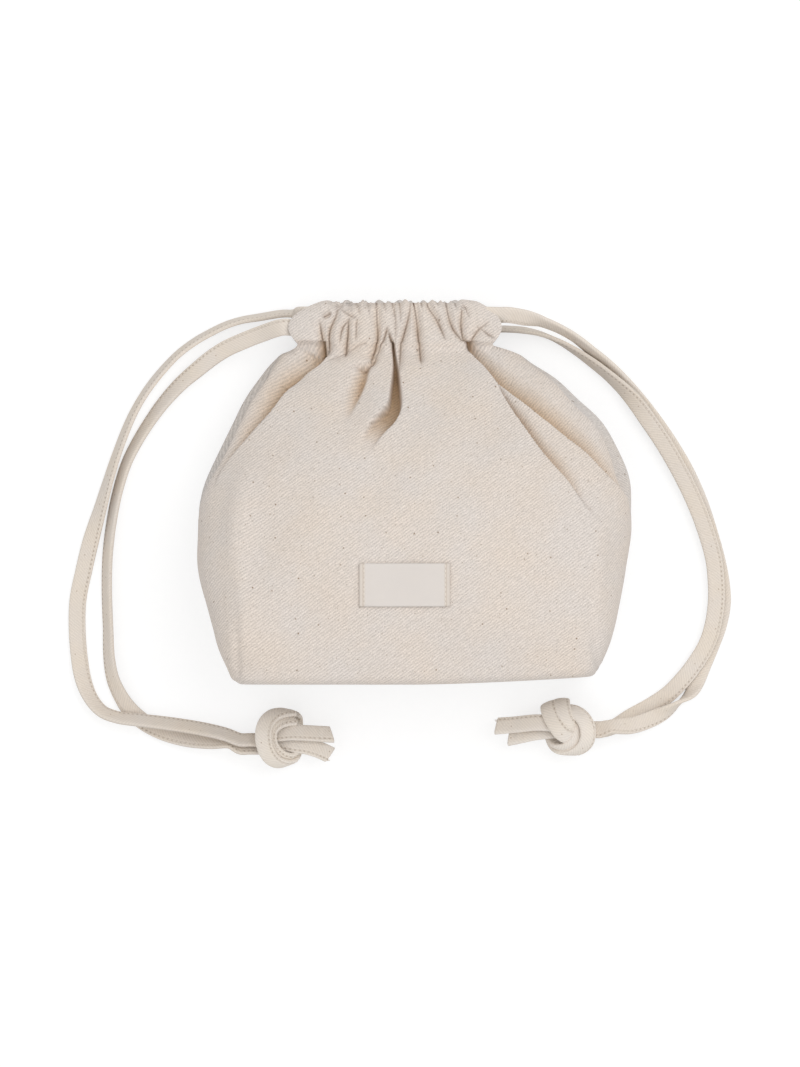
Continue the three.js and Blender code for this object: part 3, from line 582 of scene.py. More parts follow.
def half_ring(height, facing, counts, set_in=0.0):
    """A panel's row, from right seam to left. facing is 1 for the front and -1 for the back."""
    n = squareness(height)
    level = seam_level(height)
    half = half_width(height) - set_in
    if facing > 0:
        rise = front_level(height) - set_in - level
    else:
        rise = level - back_level(height) - set_in + FLOOR_SAG
    stretches = []
    turns = [0, math.pi / 4, 3 * math.pi / 4, math.pi]
    for start, end, count in zip(turns, turns[1:], counts):
        angle = np.linspace(start, end, RING_STEPS)
        x = half * signed_power(np.cos(angle), 2 / n)
        z = facing * rise * signed_power(np.sin(angle), 2 / n)
        z = np.maximum(z, back_level(height) + set_in - level)
        stretches.append(spaced(np.stack([x, z], axis=1), count)[bool(stretches):])
    x, z = np.concatenate(stretches).T
    x = fit_outline(x, z, height, facing, set_in)
    y = np.full_like(x, BASE_Y + height)
    return np.stack([middle_line(height) + x, y, level + z], axis=1)


# The casing: an outer wall, the fold of its rim and the wall inside, open at both ends for the tapes
END_DROOP = 0.0035
END_POWER = 6
HOOD_HEIGHTS = (0.163, 0.172)
SLOPE_START = 0.156
SLOPE_RISE = 0.0115
SLOPE_POWER = 2.2
RIM_LEVEL = -0.0005
LINING_END = 0.166
NECK_START = 0.15
RIM_SCALLOP = 1.15
RIM_START = 0.172
HEM_INSET = 0.94
HEM_FOLDS = 0.6
RIM_CALM = 0.3
ROOM_HEIGHTS = (0.15, 0.172)
RIM_ENDS = (0.8, 0.97)
RIM_LIFT = 0.0013
SEAM_HOLD = 6
BASE_ROWS = 10
CORNER_ROWS = 7
RIM_ROWS = 13
HEM_ROWS = 14
TAPE_ROOM = 0.0026


def wall_rise(height, facing):
    """How much higher than the flat casing the cloth lies there, down from the body's slope."""
    if facing < 0:
        return 0.0
    left = 1 - share(height, SLOPE_START, BAG_HEIGHT)
    return RIM_LEVEL + (SLOPE_RISE - RIM_LEVEL) * left ** SLOPE_POWER


def fold_room(height, facing):
    """How deep a fold can be there, above the tapes in the casing."""
    in_casing = TAPE_ROOM + wall_rise(height, facing)
    return DEEPEST + ease(height, *ROOM_HEIGHTS) * (in_casing - DEEPEST)


def casing_columns(counts):
    """How far across the casing each column lies, from 1 at the right end to -1 at the left."""
    side, face, _ = counts
    edge = math.cos(math.pi / 4) ** (2 / BODY_SQUARENESS)
    right = np.linspace(1, edge, side + 1)
    middle = np.linspace(edge, -edge, face + 1)
    return np.concatenate([right, middle[1:], -right[::-1][1:]])


def casing_row(height, turn, facing, across):
    """turn is 0 on the outer wall and pi on the wall inside, and between them lies the rim's fold."""
    end = np.abs(across) ** END_POWER
    outer = CASING_THICK / 2 + wall_rise(height, facing) - END_DROOP * end
    inner = -CASING_THICK / 2
    middle = (outer + inner) / 2
    z = middle + (outer - inner) / 2 * math.cos(turn)
    top = height + RIM_ROUND * math.sin(turn)
    right, left = outline_at(top, 1), outline_at(top, -1)
    inset = 1 if turn < math.pi else HEM_INSET
    x = (right + left) / 2 + across * inset * (right - left) / 2
    lane = FRONT_LANE if facing > 0 else BACK_LANE
    y = BASE_Y + top + RIM_LIFT * ease(height, RIM_START, BAG_HEIGHT - RIM_ROUND) * (1 - end)
    return np.stack([x, y, lane + facing * z], axis=1)


def cloth_rows(facing, counts, step, shoulder_step, neck_step):
    """All rows of a panel and its casing, from the base seam to the hem, and how far folds reach each."""
    rows = []
    folds = []
    edge = half_ring(0.0, facing, counts, BASE_ROUND)
    seam = np.linspace(edge[0], edge[-1], len(edge))
    for part in np.linspace(0, 1, BASE_ROWS)[:-1]:
        rows.append(seam + part * (edge - seam))
        folds.append(0)
    for angle in np.linspace(0, math.pi / 2, CORNER_ROWS):
        set_in = BASE_ROUND * (1 - math.sin(angle))
        rows.append(half_ring(BASE_ROUND * (1 - math.cos(angle)), facing, counts, set_in))
        folds.append(ease(angle, 0, math.pi / 2))
    low = np.arange(BASE_ROUND + step, WIDEST_HEIGHT, step)
    high = np.arange(WIDEST_HEIGHT, NECK_START, shoulder_step)
    across = casing_columns(counts)
    wall_top = BAG_HEIGHT - RIM_ROUND
    wall = np.arange(NECK_START, wall_top, neck_step)
    for height in np.concatenate([low, high, wall]):
        body = half_ring(height, facing, counts)
        opened = ease(height, *HOOD_HEIGHTS)
        rows.append(body + opened * (casing_row(height, 0, facing, across) - body))
        folds.append(1)
    for turn in np.linspace(0, math.pi, RIM_ROWS)[1:]:
        rows.append(casing_row(wall_top, turn, facing, across))
        folds.append(1 - RIM_CALM * turn / math.pi + RIM_SCALLOP * math.sin(turn))
    for height in np.linspace(wall_top, LINING_END, HEM_ROWS)[1:]:
        rows.append(casing_row(height, math.pi, facing, across))
        folds.append(HEM_FOLDS)
    return np.array(rows), np.array(folds)


# Folds in the cloth. Each line is a list of points from the neck outwards: x, y, how deep, how far aside.

# Overlaps: the cloth steps down on one side of the line, and comes up again that far from it
LEFT_SHOULDER_FOLD = [
    (-0.047, 0.0767, 0.0, 0.004), (-0.0447, 0.0685, 0.0045, 0.01), (-0.0476, 0.0648, 0.006, 0.0135),
    (-0.0568, 0.0583, 0.0068, 0.0175), (-0.0648, 0.0503, 0.0066, 0.0205), (-0.073, 0.0393, 0.0058, 0.0195),
    (-0.0817, 0.0303, 0.0046, 0.016), (-0.0927, 0.0178, 0.0028, 0.01), (-0.0978, 0.0091, 0.0012, 0.0065),
    (-0.1005, -0.0003, 0.0, 0.005),
]
RIGHT_FRONT_FOLD = [
    (0.0395, 0.056, 0.0, 0.0012), (0.0425, 0.0512, 0.0024, 0.0028), (0.0453, 0.0464, 0.0042, 0.0046),
    (0.0522, 0.0358, 0.0055, 0.008), (0.0599, 0.025, 0.0052, 0.011), (0.069, 0.0135, 0.0042, 0.014),
    (0.0774, 0.0036, 0.0028, 0.015), (0.0844, -0.0064, 0.0012, 0.015), (0.0905, -0.0152, 0.0, 0.014),
]
RIGHT_BACK_FOLD = [
    (0.024, 0.079, 0.0, 0.004), (0.025, 0.0752, 0.0025, 0.006), (0.0268, 0.0718, 0.0045, 0.009),
    (0.0305, 0.0668, 0.006, 0.011), (0.0352, 0.0617, 0.0068, 0.013), (0.0399, 0.056, 0.0072, 0.016),
    (0.046, 0.051, 0.0072, 0.017), (0.0537, 0.0449, 0.0072, 0.018), (0.0614, 0.0387, 0.007, 0.018),
    (0.069, 0.0334, 0.0065, 0.018), (0.0767, 0.0272, 0.0062, 0.017), (0.0844, 0.021, 0.0056, 0.016),
    (0.092, 0.0138, 0.0045, 0.014), (0.0996, 0.0058, 0.0032, 0.011), (0.106, -0.0025, 0.0014, 0.008),
    (0.109, -0.007, 0.0, 0.006),
]

# The lip of a tongue of cloth, which lies over the head of the valley
LIP = [
    (-0.0206, 0.0694, 0.0, 0.004), (-0.0218, 0.0664, 0.0038, 0.005), (-0.0246, 0.0642, 0.004, 0.006),
    (-0.0278, 0.064, 0.0022, 0.006), (-0.031, 0.065, 0.0, 0.005),
]

# A soft valley, which falls away to the left of its line
VALLEY = [
    (-0.0222, 0.0645, 0.0, 0.004), (-0.023, 0.0615, 0.0042, 0.0095), (-0.0244, 0.0567, 0.005, 0.013),
    (-0.0275, 0.0491, 0.0038, 0.0135), (-0.0313, 0.0407, 0.0016, 0.012), (-0.0345, 0.034, 0.0, 0.01),
]

# The deep pleat below the middle of the casing: its half width is the last number
MIDDLE_PLEAT = [
    (-0.0135, 0.0808, 0.0, 0.0004), (-0.0113, 0.0742, 0.003, 0.0005), (-0.0103, 0.0685, 0.006, 0.0007),
    (-0.0097, 0.0617, 0.008, 0.0012), (-0.0097, 0.0527, 0.0082, 0.0022), (-0.0103, 0.0433, 0.0076, 0.0032),
    (-0.0135, 0.0377, 0.007, 0.004), (-0.0185, 0.0323, 0.0045, 0.004), (-0.0225, 0.0262, 0.0022, 0.0035),
    (-0.0255, 0.0208, 0.0, 0.003),
]

# Narrow valleys between the gathers of the casing
GATHERS = [
    [(-0.048, 0.0868, 0.0, 0.0015), (-0.0476, 0.0833, 0.002, 0.002), (-0.0465, 0.0767, 0.0035, 0.002),
     (-0.0455, 0.0698, 0.0035, 0.002), (-0.045, 0.0673, 0.0, 0.002)],
    [(-0.0466, 0.0876, 0.0, 0.0008), (-0.0454, 0.088, 0.0024, 0.0009), (-0.043, 0.0891, 0.003, 0.0009),
     (-0.0416, 0.0897, 0.0, 0.0008)],
    [(-0.0385, 0.0973, 0.0003, 0.0012), (-0.0392, 0.0897, 0.0022, 0.0012),
     (-0.0428, 0.0809, 0.0026, 0.0013), (-0.0432, 0.0714, 0.0028, 0.0013),
     (-0.0435, 0.0683, 0.0, 0.0013)],
    [(-0.032, 0.0878, 0.0, 0.001), (-0.033, 0.0864, 0.0016, 0.001), (-0.0362, 0.0824, 0.0022, 0.0012),
     (-0.0377, 0.0752, 0.0012, 0.0012), (-0.038, 0.0727, 0.0, 0.001)],
    [(-0.033, 0.0868, 0.0, 0.001), (-0.0333, 0.0848, 0.002, 0.0012), (-0.0337, 0.078, 0.0026, 0.0012),
     (-0.0346, 0.0698, 0.0026, 0.0012), (-0.0355, 0.0668, 0.0, 0.001)],
    [(-0.0293, 0.0868, 0.0, 0.001), (-0.0293, 0.0848, 0.0015, 0.0012), (-0.0296, 0.078, 0.0015, 0.0012),
     (-0.03, 0.0747, 0.0, 0.001)],
    [(-0.0193, 0.0978, 0.0025, 0.0015), (-0.019, 0.0853, 0.0032, 0.0014),
     (-0.0186, 0.0795, 0.0032, 0.0014), (-0.0193, 0.0729, 0.0032, 0.0014),
     (-0.0214, 0.0685, 0.003, 0.0015), (-0.0222, 0.0645, 0.0, 0.0014)],
    [(-0.014, 0.083, 0.0, 0.0009), (-0.0128, 0.079, 0.0018, 0.001), (-0.0112, 0.0735, 0.0022, 0.001),
     (-0.0104, 0.0685, 0.001, 0.001)],
    [(-0.0139, 0.0835, 0.0, 0.0009), (-0.0143, 0.0809, 0.0022, 0.001), (-0.0165, 0.0743, 0.0022, 0.001),
     (-0.0201, 0.067, 0.0015, 0.0012), (-0.022, 0.0638, 0.0, 0.001)],
    [(-0.0115, 0.0978, 0.0015, 0.0012), (-0.011, 0.0934, 0.0018, 0.0011),
     (-0.0098, 0.0863, 0.0014, 0.001), (-0.0098, 0.0767, 0.001, 0.001), (-0.0095, 0.0718, 0.0, 0.001)],
    [(-0.002, 0.0978, 0.0005, 0.0012), (-0.0028, 0.0897, 0.0018, 0.0011),
     (-0.0047, 0.0824, 0.0024, 0.0011), (-0.0069, 0.0743, 0.0024, 0.0011),
     (-0.0076, 0.0656, 0.0018, 0.0012), (-0.008, 0.0583, 0.0, 0.001)],
    [(-0.008, 0.0978, 0.0015, 0.001), (-0.0076, 0.0934, 0.0015, 0.001), (-0.0073, 0.0863, 0.001, 0.001),
     (-0.0075, 0.0818, 0.0, 0.001)],
    [(-0.001, 0.0978, 0.002, 0.0013), (-0.0003, 0.0927, 0.003, 0.0012), (0.0008, 0.0858, 0.003, 0.0012),
     (0.0017, 0.077, 0.0028, 0.0012), (0.0028, 0.0678, 0.0024, 0.0012), (0.0033, 0.0628, 0.0, 0.001)],
    [(0.006, 0.0968, 0.001, 0.0012), (0.0067, 0.0924, 0.0024, 0.0012), (0.0105, 0.0869, 0.0026, 0.0012),
     (0.0139, 0.0798, 0.002, 0.0012), (0.016, 0.0747, 0.0, 0.001)],
    [(0.0155, 0.0973, 0.0015, 0.0012), (0.0158, 0.0931, 0.0024, 0.0012),
     (0.0173, 0.0863, 0.0026, 0.0012), (0.0193, 0.0816, 0.0024, 0.0012), (0.0231, 0.077, 0.002, 0.0012),
     (0.0262, 0.0724, 0.0015, 0.0012), (0.0275, 0.0698, 0.0, 0.001)],
    [(0.024, 0.0953, 0.0, 0.0012), (0.0235, 0.0901, 0.0024, 0.0012), (0.0231, 0.0839, 0.0026, 0.0012),
     (0.0243, 0.077, 0.0024, 0.0012), (0.0265, 0.0724, 0.0015, 0.0012), (0.0275, 0.0698, 0.0, 0.001)],
    [(0.0243, 0.095, 0.0, 0.001), (0.0252, 0.093, 0.0018, 0.0011), (0.0268, 0.0885, 0.001, 0.001),
     (0.0275, 0.0865, 0.0, 0.001)],
    [(0.037, 0.0858, 0.0, 0.0012), (0.036, 0.0843, 0.0012, 0.0013), (0.0323, 0.0816, 0.002, 0.0014),
     (0.0293, 0.0777, 0.0022, 0.0014), (0.0273, 0.0724, 0.002, 0.0014), (0.0275, 0.0698, 0.0, 0.001)],
    [(0.032, 0.0828, 0.0, 0.001), (0.034, 0.0815, 0.0015, 0.0012), (0.0375, 0.0788, 0.002, 0.0014),
     (0.0405, 0.0767, 0.001, 0.0012)],
    [(-0.041, 0.0968, 0.0005, 0.001), (-0.04, 0.0938, 0.001, 0.001), (-0.0392, 0.0912, 0.0, 0.001)],
    [(-0.037, 0.0968, 0.0009, 0.001), (-0.0366, 0.0919, 0.0012, 0.001), (-0.0365, 0.0897, 0.0, 0.001)],
    [(-0.033, 0.0963, 0.0009, 0.001), (-0.0322, 0.0912, 0.001, 0.001), (-0.0315, 0.0887, 0.0, 0.001)],
    [(-0.0293, 0.0963, 0.0022, 0.0012), (-0.028, 0.0905, 0.0012, 0.001), (-0.0272, 0.0868, 0.0, 0.001)],
    [(-0.0235, 0.0963, 0.0015, 0.001), (-0.023, 0.0907, 0.001, 0.001), (-0.0227, 0.0878, 0.0, 0.001)],
    [(-0.0155, 0.0968, 0.0015, 0.001), (-0.015, 0.0917, 0.001, 0.001), (-0.0145, 0.0887, 0.0, 0.001)],
    [(0.003, 0.0968, 0.0012, 0.001), (0.0035, 0.0927, 0.0008, 0.001), (0.0037, 0.0902, 0.0, 0.001)],
    [(0.011, 0.0968, 0.001, 0.001), (0.0115, 0.0938, 0.0006, 0.001), (0.012, 0.0912, 0.0, 0.001)],
    [(0.02, 0.0968, 0.0013, 0.001), (0.0205, 0.0927, 0.0008, 0.001), (0.021, 0.0897, 0.0, 0.001)],
    [(-0.045, 0.066, 0.0, 0.001), (-0.0405, 0.0673, 0.001, 0.0012), (-0.035, 0.0695, 0.0012, 0.0012),
     (-0.029, 0.0722, 0.0012, 0.0012), (-0.0252, 0.074, 0.0012, 0.0012), (-0.023, 0.0727, 0.0, 0.001)],
    [(-0.0392, 0.0938, 0.0, 0.001), (-0.036, 0.0906, 0.0014, 0.0011), (-0.0318, 0.0881, 0.0018, 0.0011),
     (-0.0279, 0.0866, 0.0, 0.001)],
    [(-0.07, 0.056, 0.0, 0.002), (-0.0655, 0.0558, 0.0012, 0.0018), (-0.061, 0.0563, 0.0016, 0.0018),
     (-0.0568, 0.0583, 0.001, 0.0018)],
]

# Broad soft hollows, and a swelling where the depth is below nought
HOLLOWS = [
    [(-0.0595, 0.0737, 0.0, 0.003), (-0.0545, 0.0713, 0.002, 0.004), (-0.0495, 0.0693, 0.002, 0.004),
     (-0.045, 0.0673, 0.0, 0.003)],
    [(-0.0245, 0.0617, 0.0, 0.003), (-0.0255, 0.0588, 0.0018, 0.004), (-0.0285, 0.0498, 0.0016, 0.006),
     (-0.035, 0.0382, 0.001, 0.008), (-0.045, 0.0258, 0.0005, 0.009), (-0.0525, 0.0158, 0.0, 0.009)],
    [(-0.0425, 0.0518, 0.0, 0.006), (-0.049, 0.0438, 0.001, 0.008), (-0.0575, 0.0348, 0.0012, 0.009),
     (-0.0655, 0.0248, 0.001, 0.009), (-0.0735, 0.0132, 0.0, 0.009)],
    [(-0.0315, 0.0358, 0.0, 0.008), (-0.04, 0.0258, -0.001, 0.01), (-0.0485, 0.0158, -0.0012, 0.011),
     (-0.0555, 0.0083, -0.0008, 0.011), (-0.0625, -0.0003, 0.0, 0.011)],
    [(-0.079, 0.0225, 0.0, 0.006), (-0.085, 0.008, -0.0016, 0.0062), (-0.0878, -0.008, -0.0028, 0.0066),
     (-0.0884, -0.025, -0.0033, 0.0066), (-0.0875, -0.048, -0.0027, 0.006),
     (-0.0862, -0.068, -0.0015, 0.0055), (-0.0855, -0.085, 0.0, 0.005)],
    [(0.083, -0.001, 0.0, 0.006), (0.0872, -0.011, -0.0014, 0.0062), (0.089, -0.025, -0.0026, 0.0066),
     (0.0896, -0.041, -0.0026, 0.0066), (0.0898, -0.058, -0.0018, 0.006),
     (0.0895, -0.072, -0.001, 0.0055), (0.089, -0.085, 0.0, 0.005)],
]

# Creases that run up from the front corners of the base
BASE_CREASES = [
    [(-0.0885, -0.0955, 0.0016, 0.0016), (-0.088, -0.08, 0.0013, 0.0018),
     (-0.0885, -0.062, 0.0008, 0.0024), (-0.09, -0.038, 0.0003, 0.0035), (-0.091, -0.0143, 0.0, 0.004)],
    [(0.091, -0.0925, 0.0016, 0.0016), (0.0885, -0.075, 0.0013, 0.0018), (0.0872, -0.056, 0.001, 0.0022),
     (0.086, -0.0378, 0.0006, 0.003), (0.08, -0.0143, 0.0, 0.004)],
]

# How finely a line is followed, how far from it a fold of each kind can reach, and how deep any can go
LINE_STEPS = 8
OVERLAP_MARGIN = 0.025
PLEAT_MARGIN = 0.012
GATHER_MARGIN = 0.015
HOLLOW_MARGIN = 0.03
DEEPEST = 0.012

# How steep the folds are, and how dark their painted shade is. A pair of depths says where a painted shade
# starts and is full.
OVERLAP_GAIN = 1.45
OVERLAP_DARK = 0.8
CREASE_DEPTH = 0.005
CREASE_SPREAD = 0.00038
STEP_SHARP = 0.0008
STEP_START = -0.4
STEP_DARKEST = 0.8
SHOULDER_DARK = 1.0
VALLEY_STEP = 0.0022
VALLEY_DARK = 0.15
LIP_STEP = 0.0014
LIP_DARK = 0.7
PLEAT_WALL = 0.0004
PLEAT_SLOPE = 0.15
PLEAT_DARK = 0.32
PLEAT_DEPTHS = (0.003, 0.008)
GATHER_GAIN = 1.5
GATHER_CORE = 0.00045
GATHER_SOFT = 1.8
GATHER_DARK = 0.72
GATHER_DEPTHS = (0.0002, 0.0024)
CORE_SHARE = 0.35
SOFT_SHARE = 0.65
# Where the painted tan shade of the folds starts and is full
FOLD_SHADE_DEPTHS = (0.0016, 0.008)

# Easy waves of loose cloth: how high, how long across and along, and where each starts
WAVES = [(0.0005, 0.061, 0.143, 0.7), (0.0004, 0.037, -0.058, 2.1), (0.0003, 0.2, 0.041, 4.0)]
SLACK_START = 0.02
SLACK_END = (0.082, 0.095)
RIM_PAST = 0.001
FLOOR_GAP = 0.0002

# Gathers of the back casing, laid by chance
BACK_CHANCE = 7
BACK_LEFT_INSET = 0.009
BACK_RIGHT_INSET = 0.006
BACK_GATHER_STEP = 0.0055
BACK_SHIFT = 0.0015
BACK_LEAN = 0.003
BACK_ENDS = (-0.004, 0.03)
BACK_DEPTHS = (0.0012, 0.003)
BACK_RIM_PAST = 0.003


def beside_line(line, x, y, margin):
    """For the points near a line: which they are, how far to its left, and its depth and reach there."""
    flat = [(px, py, 0, depth, reach) for px, py, depth, reach in line]
    run = smooth_line(flat, LINE_STEPS)
    low = run[:, :2].min(axis=0) - margin
    high = run[:, :2].max(axis=0) + margin
    near = np.nonzero((x > low[0]) & (x < high[0]) & (y > low[1]) & (y < high[1]))
    spots = np.stack([x[near], y[near]], axis=1)
    start = run[:-1, :2]
    step = np.diff(run[:, :2], axis=0)
    away = spots[:, None, :] - start[None]
    part = np.clip((away * step).sum(axis=2) / (step ** 2).sum(axis=1), 0, 1)
    gap = away - part[..., None] * step
    distance = np.linalg.norm(gap, axis=2)
    best = distance.argmin(axis=1)
    pick = np.arange(len(best))
    turn = step[best, 0] * away[pick, best, 1] - step[best, 1] * away[pick, best, 0]
    aside = distance[pick, best] * np.where(turn > 0, 1, -1)
    along = best + part[pick, best]
    depth = np.interp(along, np.arange(len(run)), run[:, 3])
    reach = np.interp(along, np.arange(len(run)), run[:, 4])
    return near, aside, depth, reach


def press_overlap(sunk, crease, line, x, y, low_side, step=STEP_SHARP, dark=OVERLAP_DARK):
    near, aside, depth, reach = beside_line(line, x, y, OVERLAP_MARGIN)
    aside = aside * low_side
    dome = (1 - share(aside, 0, reach)) ** 2
    sunk[near] += OVERLAP_GAIN * depth * dome * ease(aside, STEP_START * step, step)
    # Painted shade in the crease beside the fold's step
    shade = np.exp(-((aside - STEP_DARKEST * step) / CREASE_SPREAD) ** 2) * share(depth, 0, CREASE_DEPTH)
    crease[near] = np.maximum(crease[near], dark * shade)


def press_pleat(sunk, crease, line, x, y):
    near, aside, depth, reach = beside_line(line, x, y, PLEAT_MARGIN)
    wall = PLEAT_WALL + PLEAT_SLOPE * reach
    inside = 1 - ease(np.abs(aside), reach - wall, reach + wall)
    sunk[near] += depth * inside
    # Painted shade inside the pleat
    crease[near] = np.maximum(crease[near], PLEAT_DARK * inside * share(depth, *PLEAT_DEPTHS))


def press_gather(sunk, crease, line, x, y):
    """Where gathers meet, the deeper one counts."""
    near, aside, depth, reach = beside_line(line, x, y, GATHER_MARGIN)
    away = np.abs(aside)
    core = CORE_SHARE * np.exp(-away / GATHER_CORE)
    valley = core + SOFT_SHARE * np.exp(-(away / (GATHER_SOFT * reach)) ** 2)
    sunk[near] = np.maximum(sunk[near], GATHER_GAIN * depth * valley)
    # Painted shade along the gather's groove
    shade = np.exp(-(away / CREASE_SPREAD) ** 2) * share(depth, *GATHER_DEPTHS)
    crease[near] = np.maximum(crease[near], GATHER_DARK * shade)


def press_hollow(sunk, line, x, y):
    near, aside, depth, reach = beside_line(line, x, y, HOLLOW_MARGIN)
    sunk[near] += depth * np.exp(-(aside / reach) ** 2)


def front_depth(x, y):
    """How far the front cloth is pressed in at x, y, and how near that is to a crease, as the strength of
    the crease's painted shade.
    """
    sunk = np.zeros_like(x)
    crease = np.zeros_like(x)
    for line in GATHERS:
        press_gather(sunk, crease, line, x, y)
    press_overlap(sunk, crease, LEFT_SHOULDER_FOLD, x, y, -1, STEP_SHARP, SHOULDER_DARK)
    press_overlap(sunk, crease, RIGHT_FRONT_FOLD, x, y, 1)
    press_overlap(sunk, crease, RIGHT_BACK_FOLD, x, y, 1)
    press_overlap(sunk, crease, VALLEY, x, y, -1, VALLEY_STEP, VALLEY_DARK)
    press_overlap(sunk, crease, LIP, x, y, 1, LIP_STEP, LIP_DARK)
    press_pleat(sunk, crease, MIDDLE_PLEAT, x, y)
    for line in HOLLOWS + BASE_CREASES:
        press_hollow(sunk, line, x, y)
    return np.minimum(sunk, DEEPEST), crease


def slack(x, y):
    """The easy waves of cloth that nothing pulls tight."""
    waves = 0
    for high, across, along, start in WAVES:
        waves = waves + high * np.sin(2 * np.pi * (x / across + y / along) + start)
    return waves


def back_gathers():
    chance = np.random.default_rng(BACK_CHANCE)
    lines = []
    for x in np.arange(LEFT_END + BACK_LEFT_INSET, RIGHT_END - BACK_RIGHT_INSET, BACK_GATHER_STEP):
        top = x + chance.uniform(-BACK_SHIFT, BACK_SHIFT)
        lean = chance.uniform(-BACK_LEAN, BACK_LEAN)
        end = BASE_Y + BODY_HEIGHT - chance.uniform(*BACK_ENDS)
        middle = (BAG_HEIGHT / 2 + end) / 2
        deep = chance.uniform(*BACK_DEPTHS)
        lines.append([
            (top, BAG_HEIGHT / 2 + BACK_RIM_PAST, 0.5 * deep, 0.0012),
            (top + 0.3 * lean, middle, deep, 0.0013),
            (top + lean, end, 0.0, 0.002),
        ])
    return lines


def back_depth(x, y):
    sunk = np.zeros_like(x)
    crease = np.zeros_like(x)
    for line in back_gathers():
        press_gather(sunk, crease, line, x, y)
    return np.minimum(sunk, DEEPEST), crease


def cloth_uv(grid):
    """Where each point lies on the flat cloth: across from the middle column, along from the base edge."""
    middle = grid.shape[1] // 2
    gaps = np.linalg.norm(np.diff(grid, axis=1), axis=2)
    across = np.concatenate([np.zeros_like(grid[:, :1, 0]), np.cumsum(gaps, axis=1)], axis=1)
    across = across[:, middle:middle + 1] - across
    along = lengths_along(grid[:, middle])
    return np.stack([across, np.broadcast_to(along[:, None], across.shape)], axis=2)


def keep_folds(piece, sunk, crease):
    """Notes how deep each point lies in a fold and how near a crease, for the painted shade in the cloth's
    colour.
    """
    for name, values in (("fold", share(sunk, *FOLD_SHADE_DEPTHS)), ("crease", crease)):
        layer = piece.data.attributes.new(name, "FLOAT", "POINT")
        layer.data.foreach_set("value", values.astype(np.float32).ravel())


def cloth_panel(name, facing, counts, steps, depth_at, material):
    """One panel with its casing. counts are columns across its parts, and steps are heights of its rows."""
    grid, folds = cloth_rows(facing, counts, *steps)
    du = np.gradient(grid, axis=1)
    dv = np.gradient(grid, axis=0)
    outward = unit(facing * np.cross(dv, du) + 1e-12)
    x = grid[..., 0]
    past_rim = np.arange(len(grid)) > np.argmax(grid[:, grid.shape[1] // 2, 1])
    y = np.where(past_rim[:, None], BAG_HEIGHT / 2 + RIM_PAST, grid[..., 1])
    sunk, crease = depth_at(x, y)
    drawn = past_rim[:, None] * ease(np.abs(casing_columns(counts)), *RIM_ENDS)[None]
    from_edge = np.minimum(np.arange(x.shape[1]), np.arange(x.shape[1])[::-1])
    folds = folds[:, None] * (1 - drawn) * ease(from_edge, 0, SEAM_HOLD)
    sunk = np.minimum(sunk * folds, fold_room(y - BASE_Y, facing))
    loose = slack(x, y) * np.minimum(folds, 1) * ease(y, BASE_Y, BASE_Y + SLACK_START)
    loose = loose * (1 - ease(y, *SLACK_END))
    placed = grid + outward * (loose - sunk)[..., None]
    placed[..., 2] = np.maximum(placed[..., 2], FLOOR_GAP)
    piece = grid_object(name, settle(placed), cloth_uv(grid), material, turned=facing > 0)
    keep_folds(piece, sunk, crease * folds)
    return piece


# Stitches: short lengths of thread along a line. A size is the thread's width, height and length.
CORD_STITCH = (0.0005, 0.0005, 0.0017)
LABEL_STITCH = (0.0006, 0.0005, 0.0017)
LABEL_STITCH_STEP = 0.0022
SEAM_STITCH = (0.0005, 0.0005, 0.0019)
SEAM_STITCH_STEP = 0.0026


def stitch_tree():
    tree = bpy.data.node_groups.new("sewn_row", "GeometryNodeTree")
    sockets = {
        "Line": "NodeSocketGeometry",
        "Stitch Step": "NodeSocketFloat",
        "Stitch Size": "NodeSocketVector",
        "Thread": "NodeSocketMaterial",
    }
    for name, kind in sockets.items():
        tree.interface.new_socket(name, in_out="INPUT", socket_type=kind)
    tree.interface.new_socket("Stitches", in_out="OUTPUT", socket_type="NodeSocketGeometry")
    given = tree.nodes.new("NodeGroupInput").outputs
    line = add_node(tree, "GeometryNodeMeshToCurve", {}, {"Mesh": given["Line"]})
    inputs = {"Curve": line.outputs["Curve"], "Length": given["Stitch Step"]}
    points = add_node(tree, "GeometryNodeCurveToPoints", {"mode": "LENGTH"}, inputs)
    bead = add_node(tree, "GeometryNodeMeshUVSphere", {}, {"Segments": 8, "Rings": 6, "Radius": 0.5})
    inputs = {
        "Points": points.outputs["Points"],
        "Instance": bead.outputs["Mesh"],
        "Rotation": points.outputs["Rotation"],
        "Scale": given["Stitch Size"],
    }
    laid = add_node(tree, "GeometryNodeInstanceOnPoints", {}, inputs)
    real = add_node(tree, "GeometryNodeRealizeInstances", {}, {"Geometry": laid.outputs["Instances"]})
    inputs = {"Geometry": real.outputs["Geometry"], "Material": given["Thread"]}
    threaded = add_node(tree, "GeometryNodeSetMaterial", {}, inputs)
    tree.links.new(threaded.outputs["Geometry"], tree.nodes.new("NodeGroupOutput").inputs["Stitches"])
    return tree


def sew(name, lines, step, size, thread, tree):
    """A row of stitches along each line, as one plain mesh."""
    mesh = bpy.data.meshes.new(name + "_line")
    points = []
    edges = []
    for line in lines:
        first = len(points)
        points += [tuple(p) for p in line]
        edges += [(first + i, first + i + 1) for i in range(len(line) - 1)]
    mesh.from_pydata(points, edges, [])
    guide = new_object(name + "_line", mesh, None)
    modifier = guide.modifiers.new("stitches", "NODES")
    modifier.node_group = tree
    named = {item.name: item.identifier for item in tree.interface.items_tree if item.in_out == "INPUT"}
    modifier[named["Stitch Step"]] = step
    modifier[named["Stitch Size"]] = size
    modifier[named["Thread"]] = thread
    shown = guide.evaluated_get(bpy.context.evaluated_depsgraph_get())
    made = bpy.data.meshes.new_from_object(shown)
    made.name = name
    made.polygons.foreach_set("use_smooth", np.ones(len(made.polygons), bool))
    bpy.data.objects.remove(guide)
    return new_object(name, made, None)


def fit(piece, body, slot, *nodes):
    """The piece stands for those nodes and rides on that body. Its slot is not used."""
    if nodes:
        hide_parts(*nodes)
    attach(piece, body)


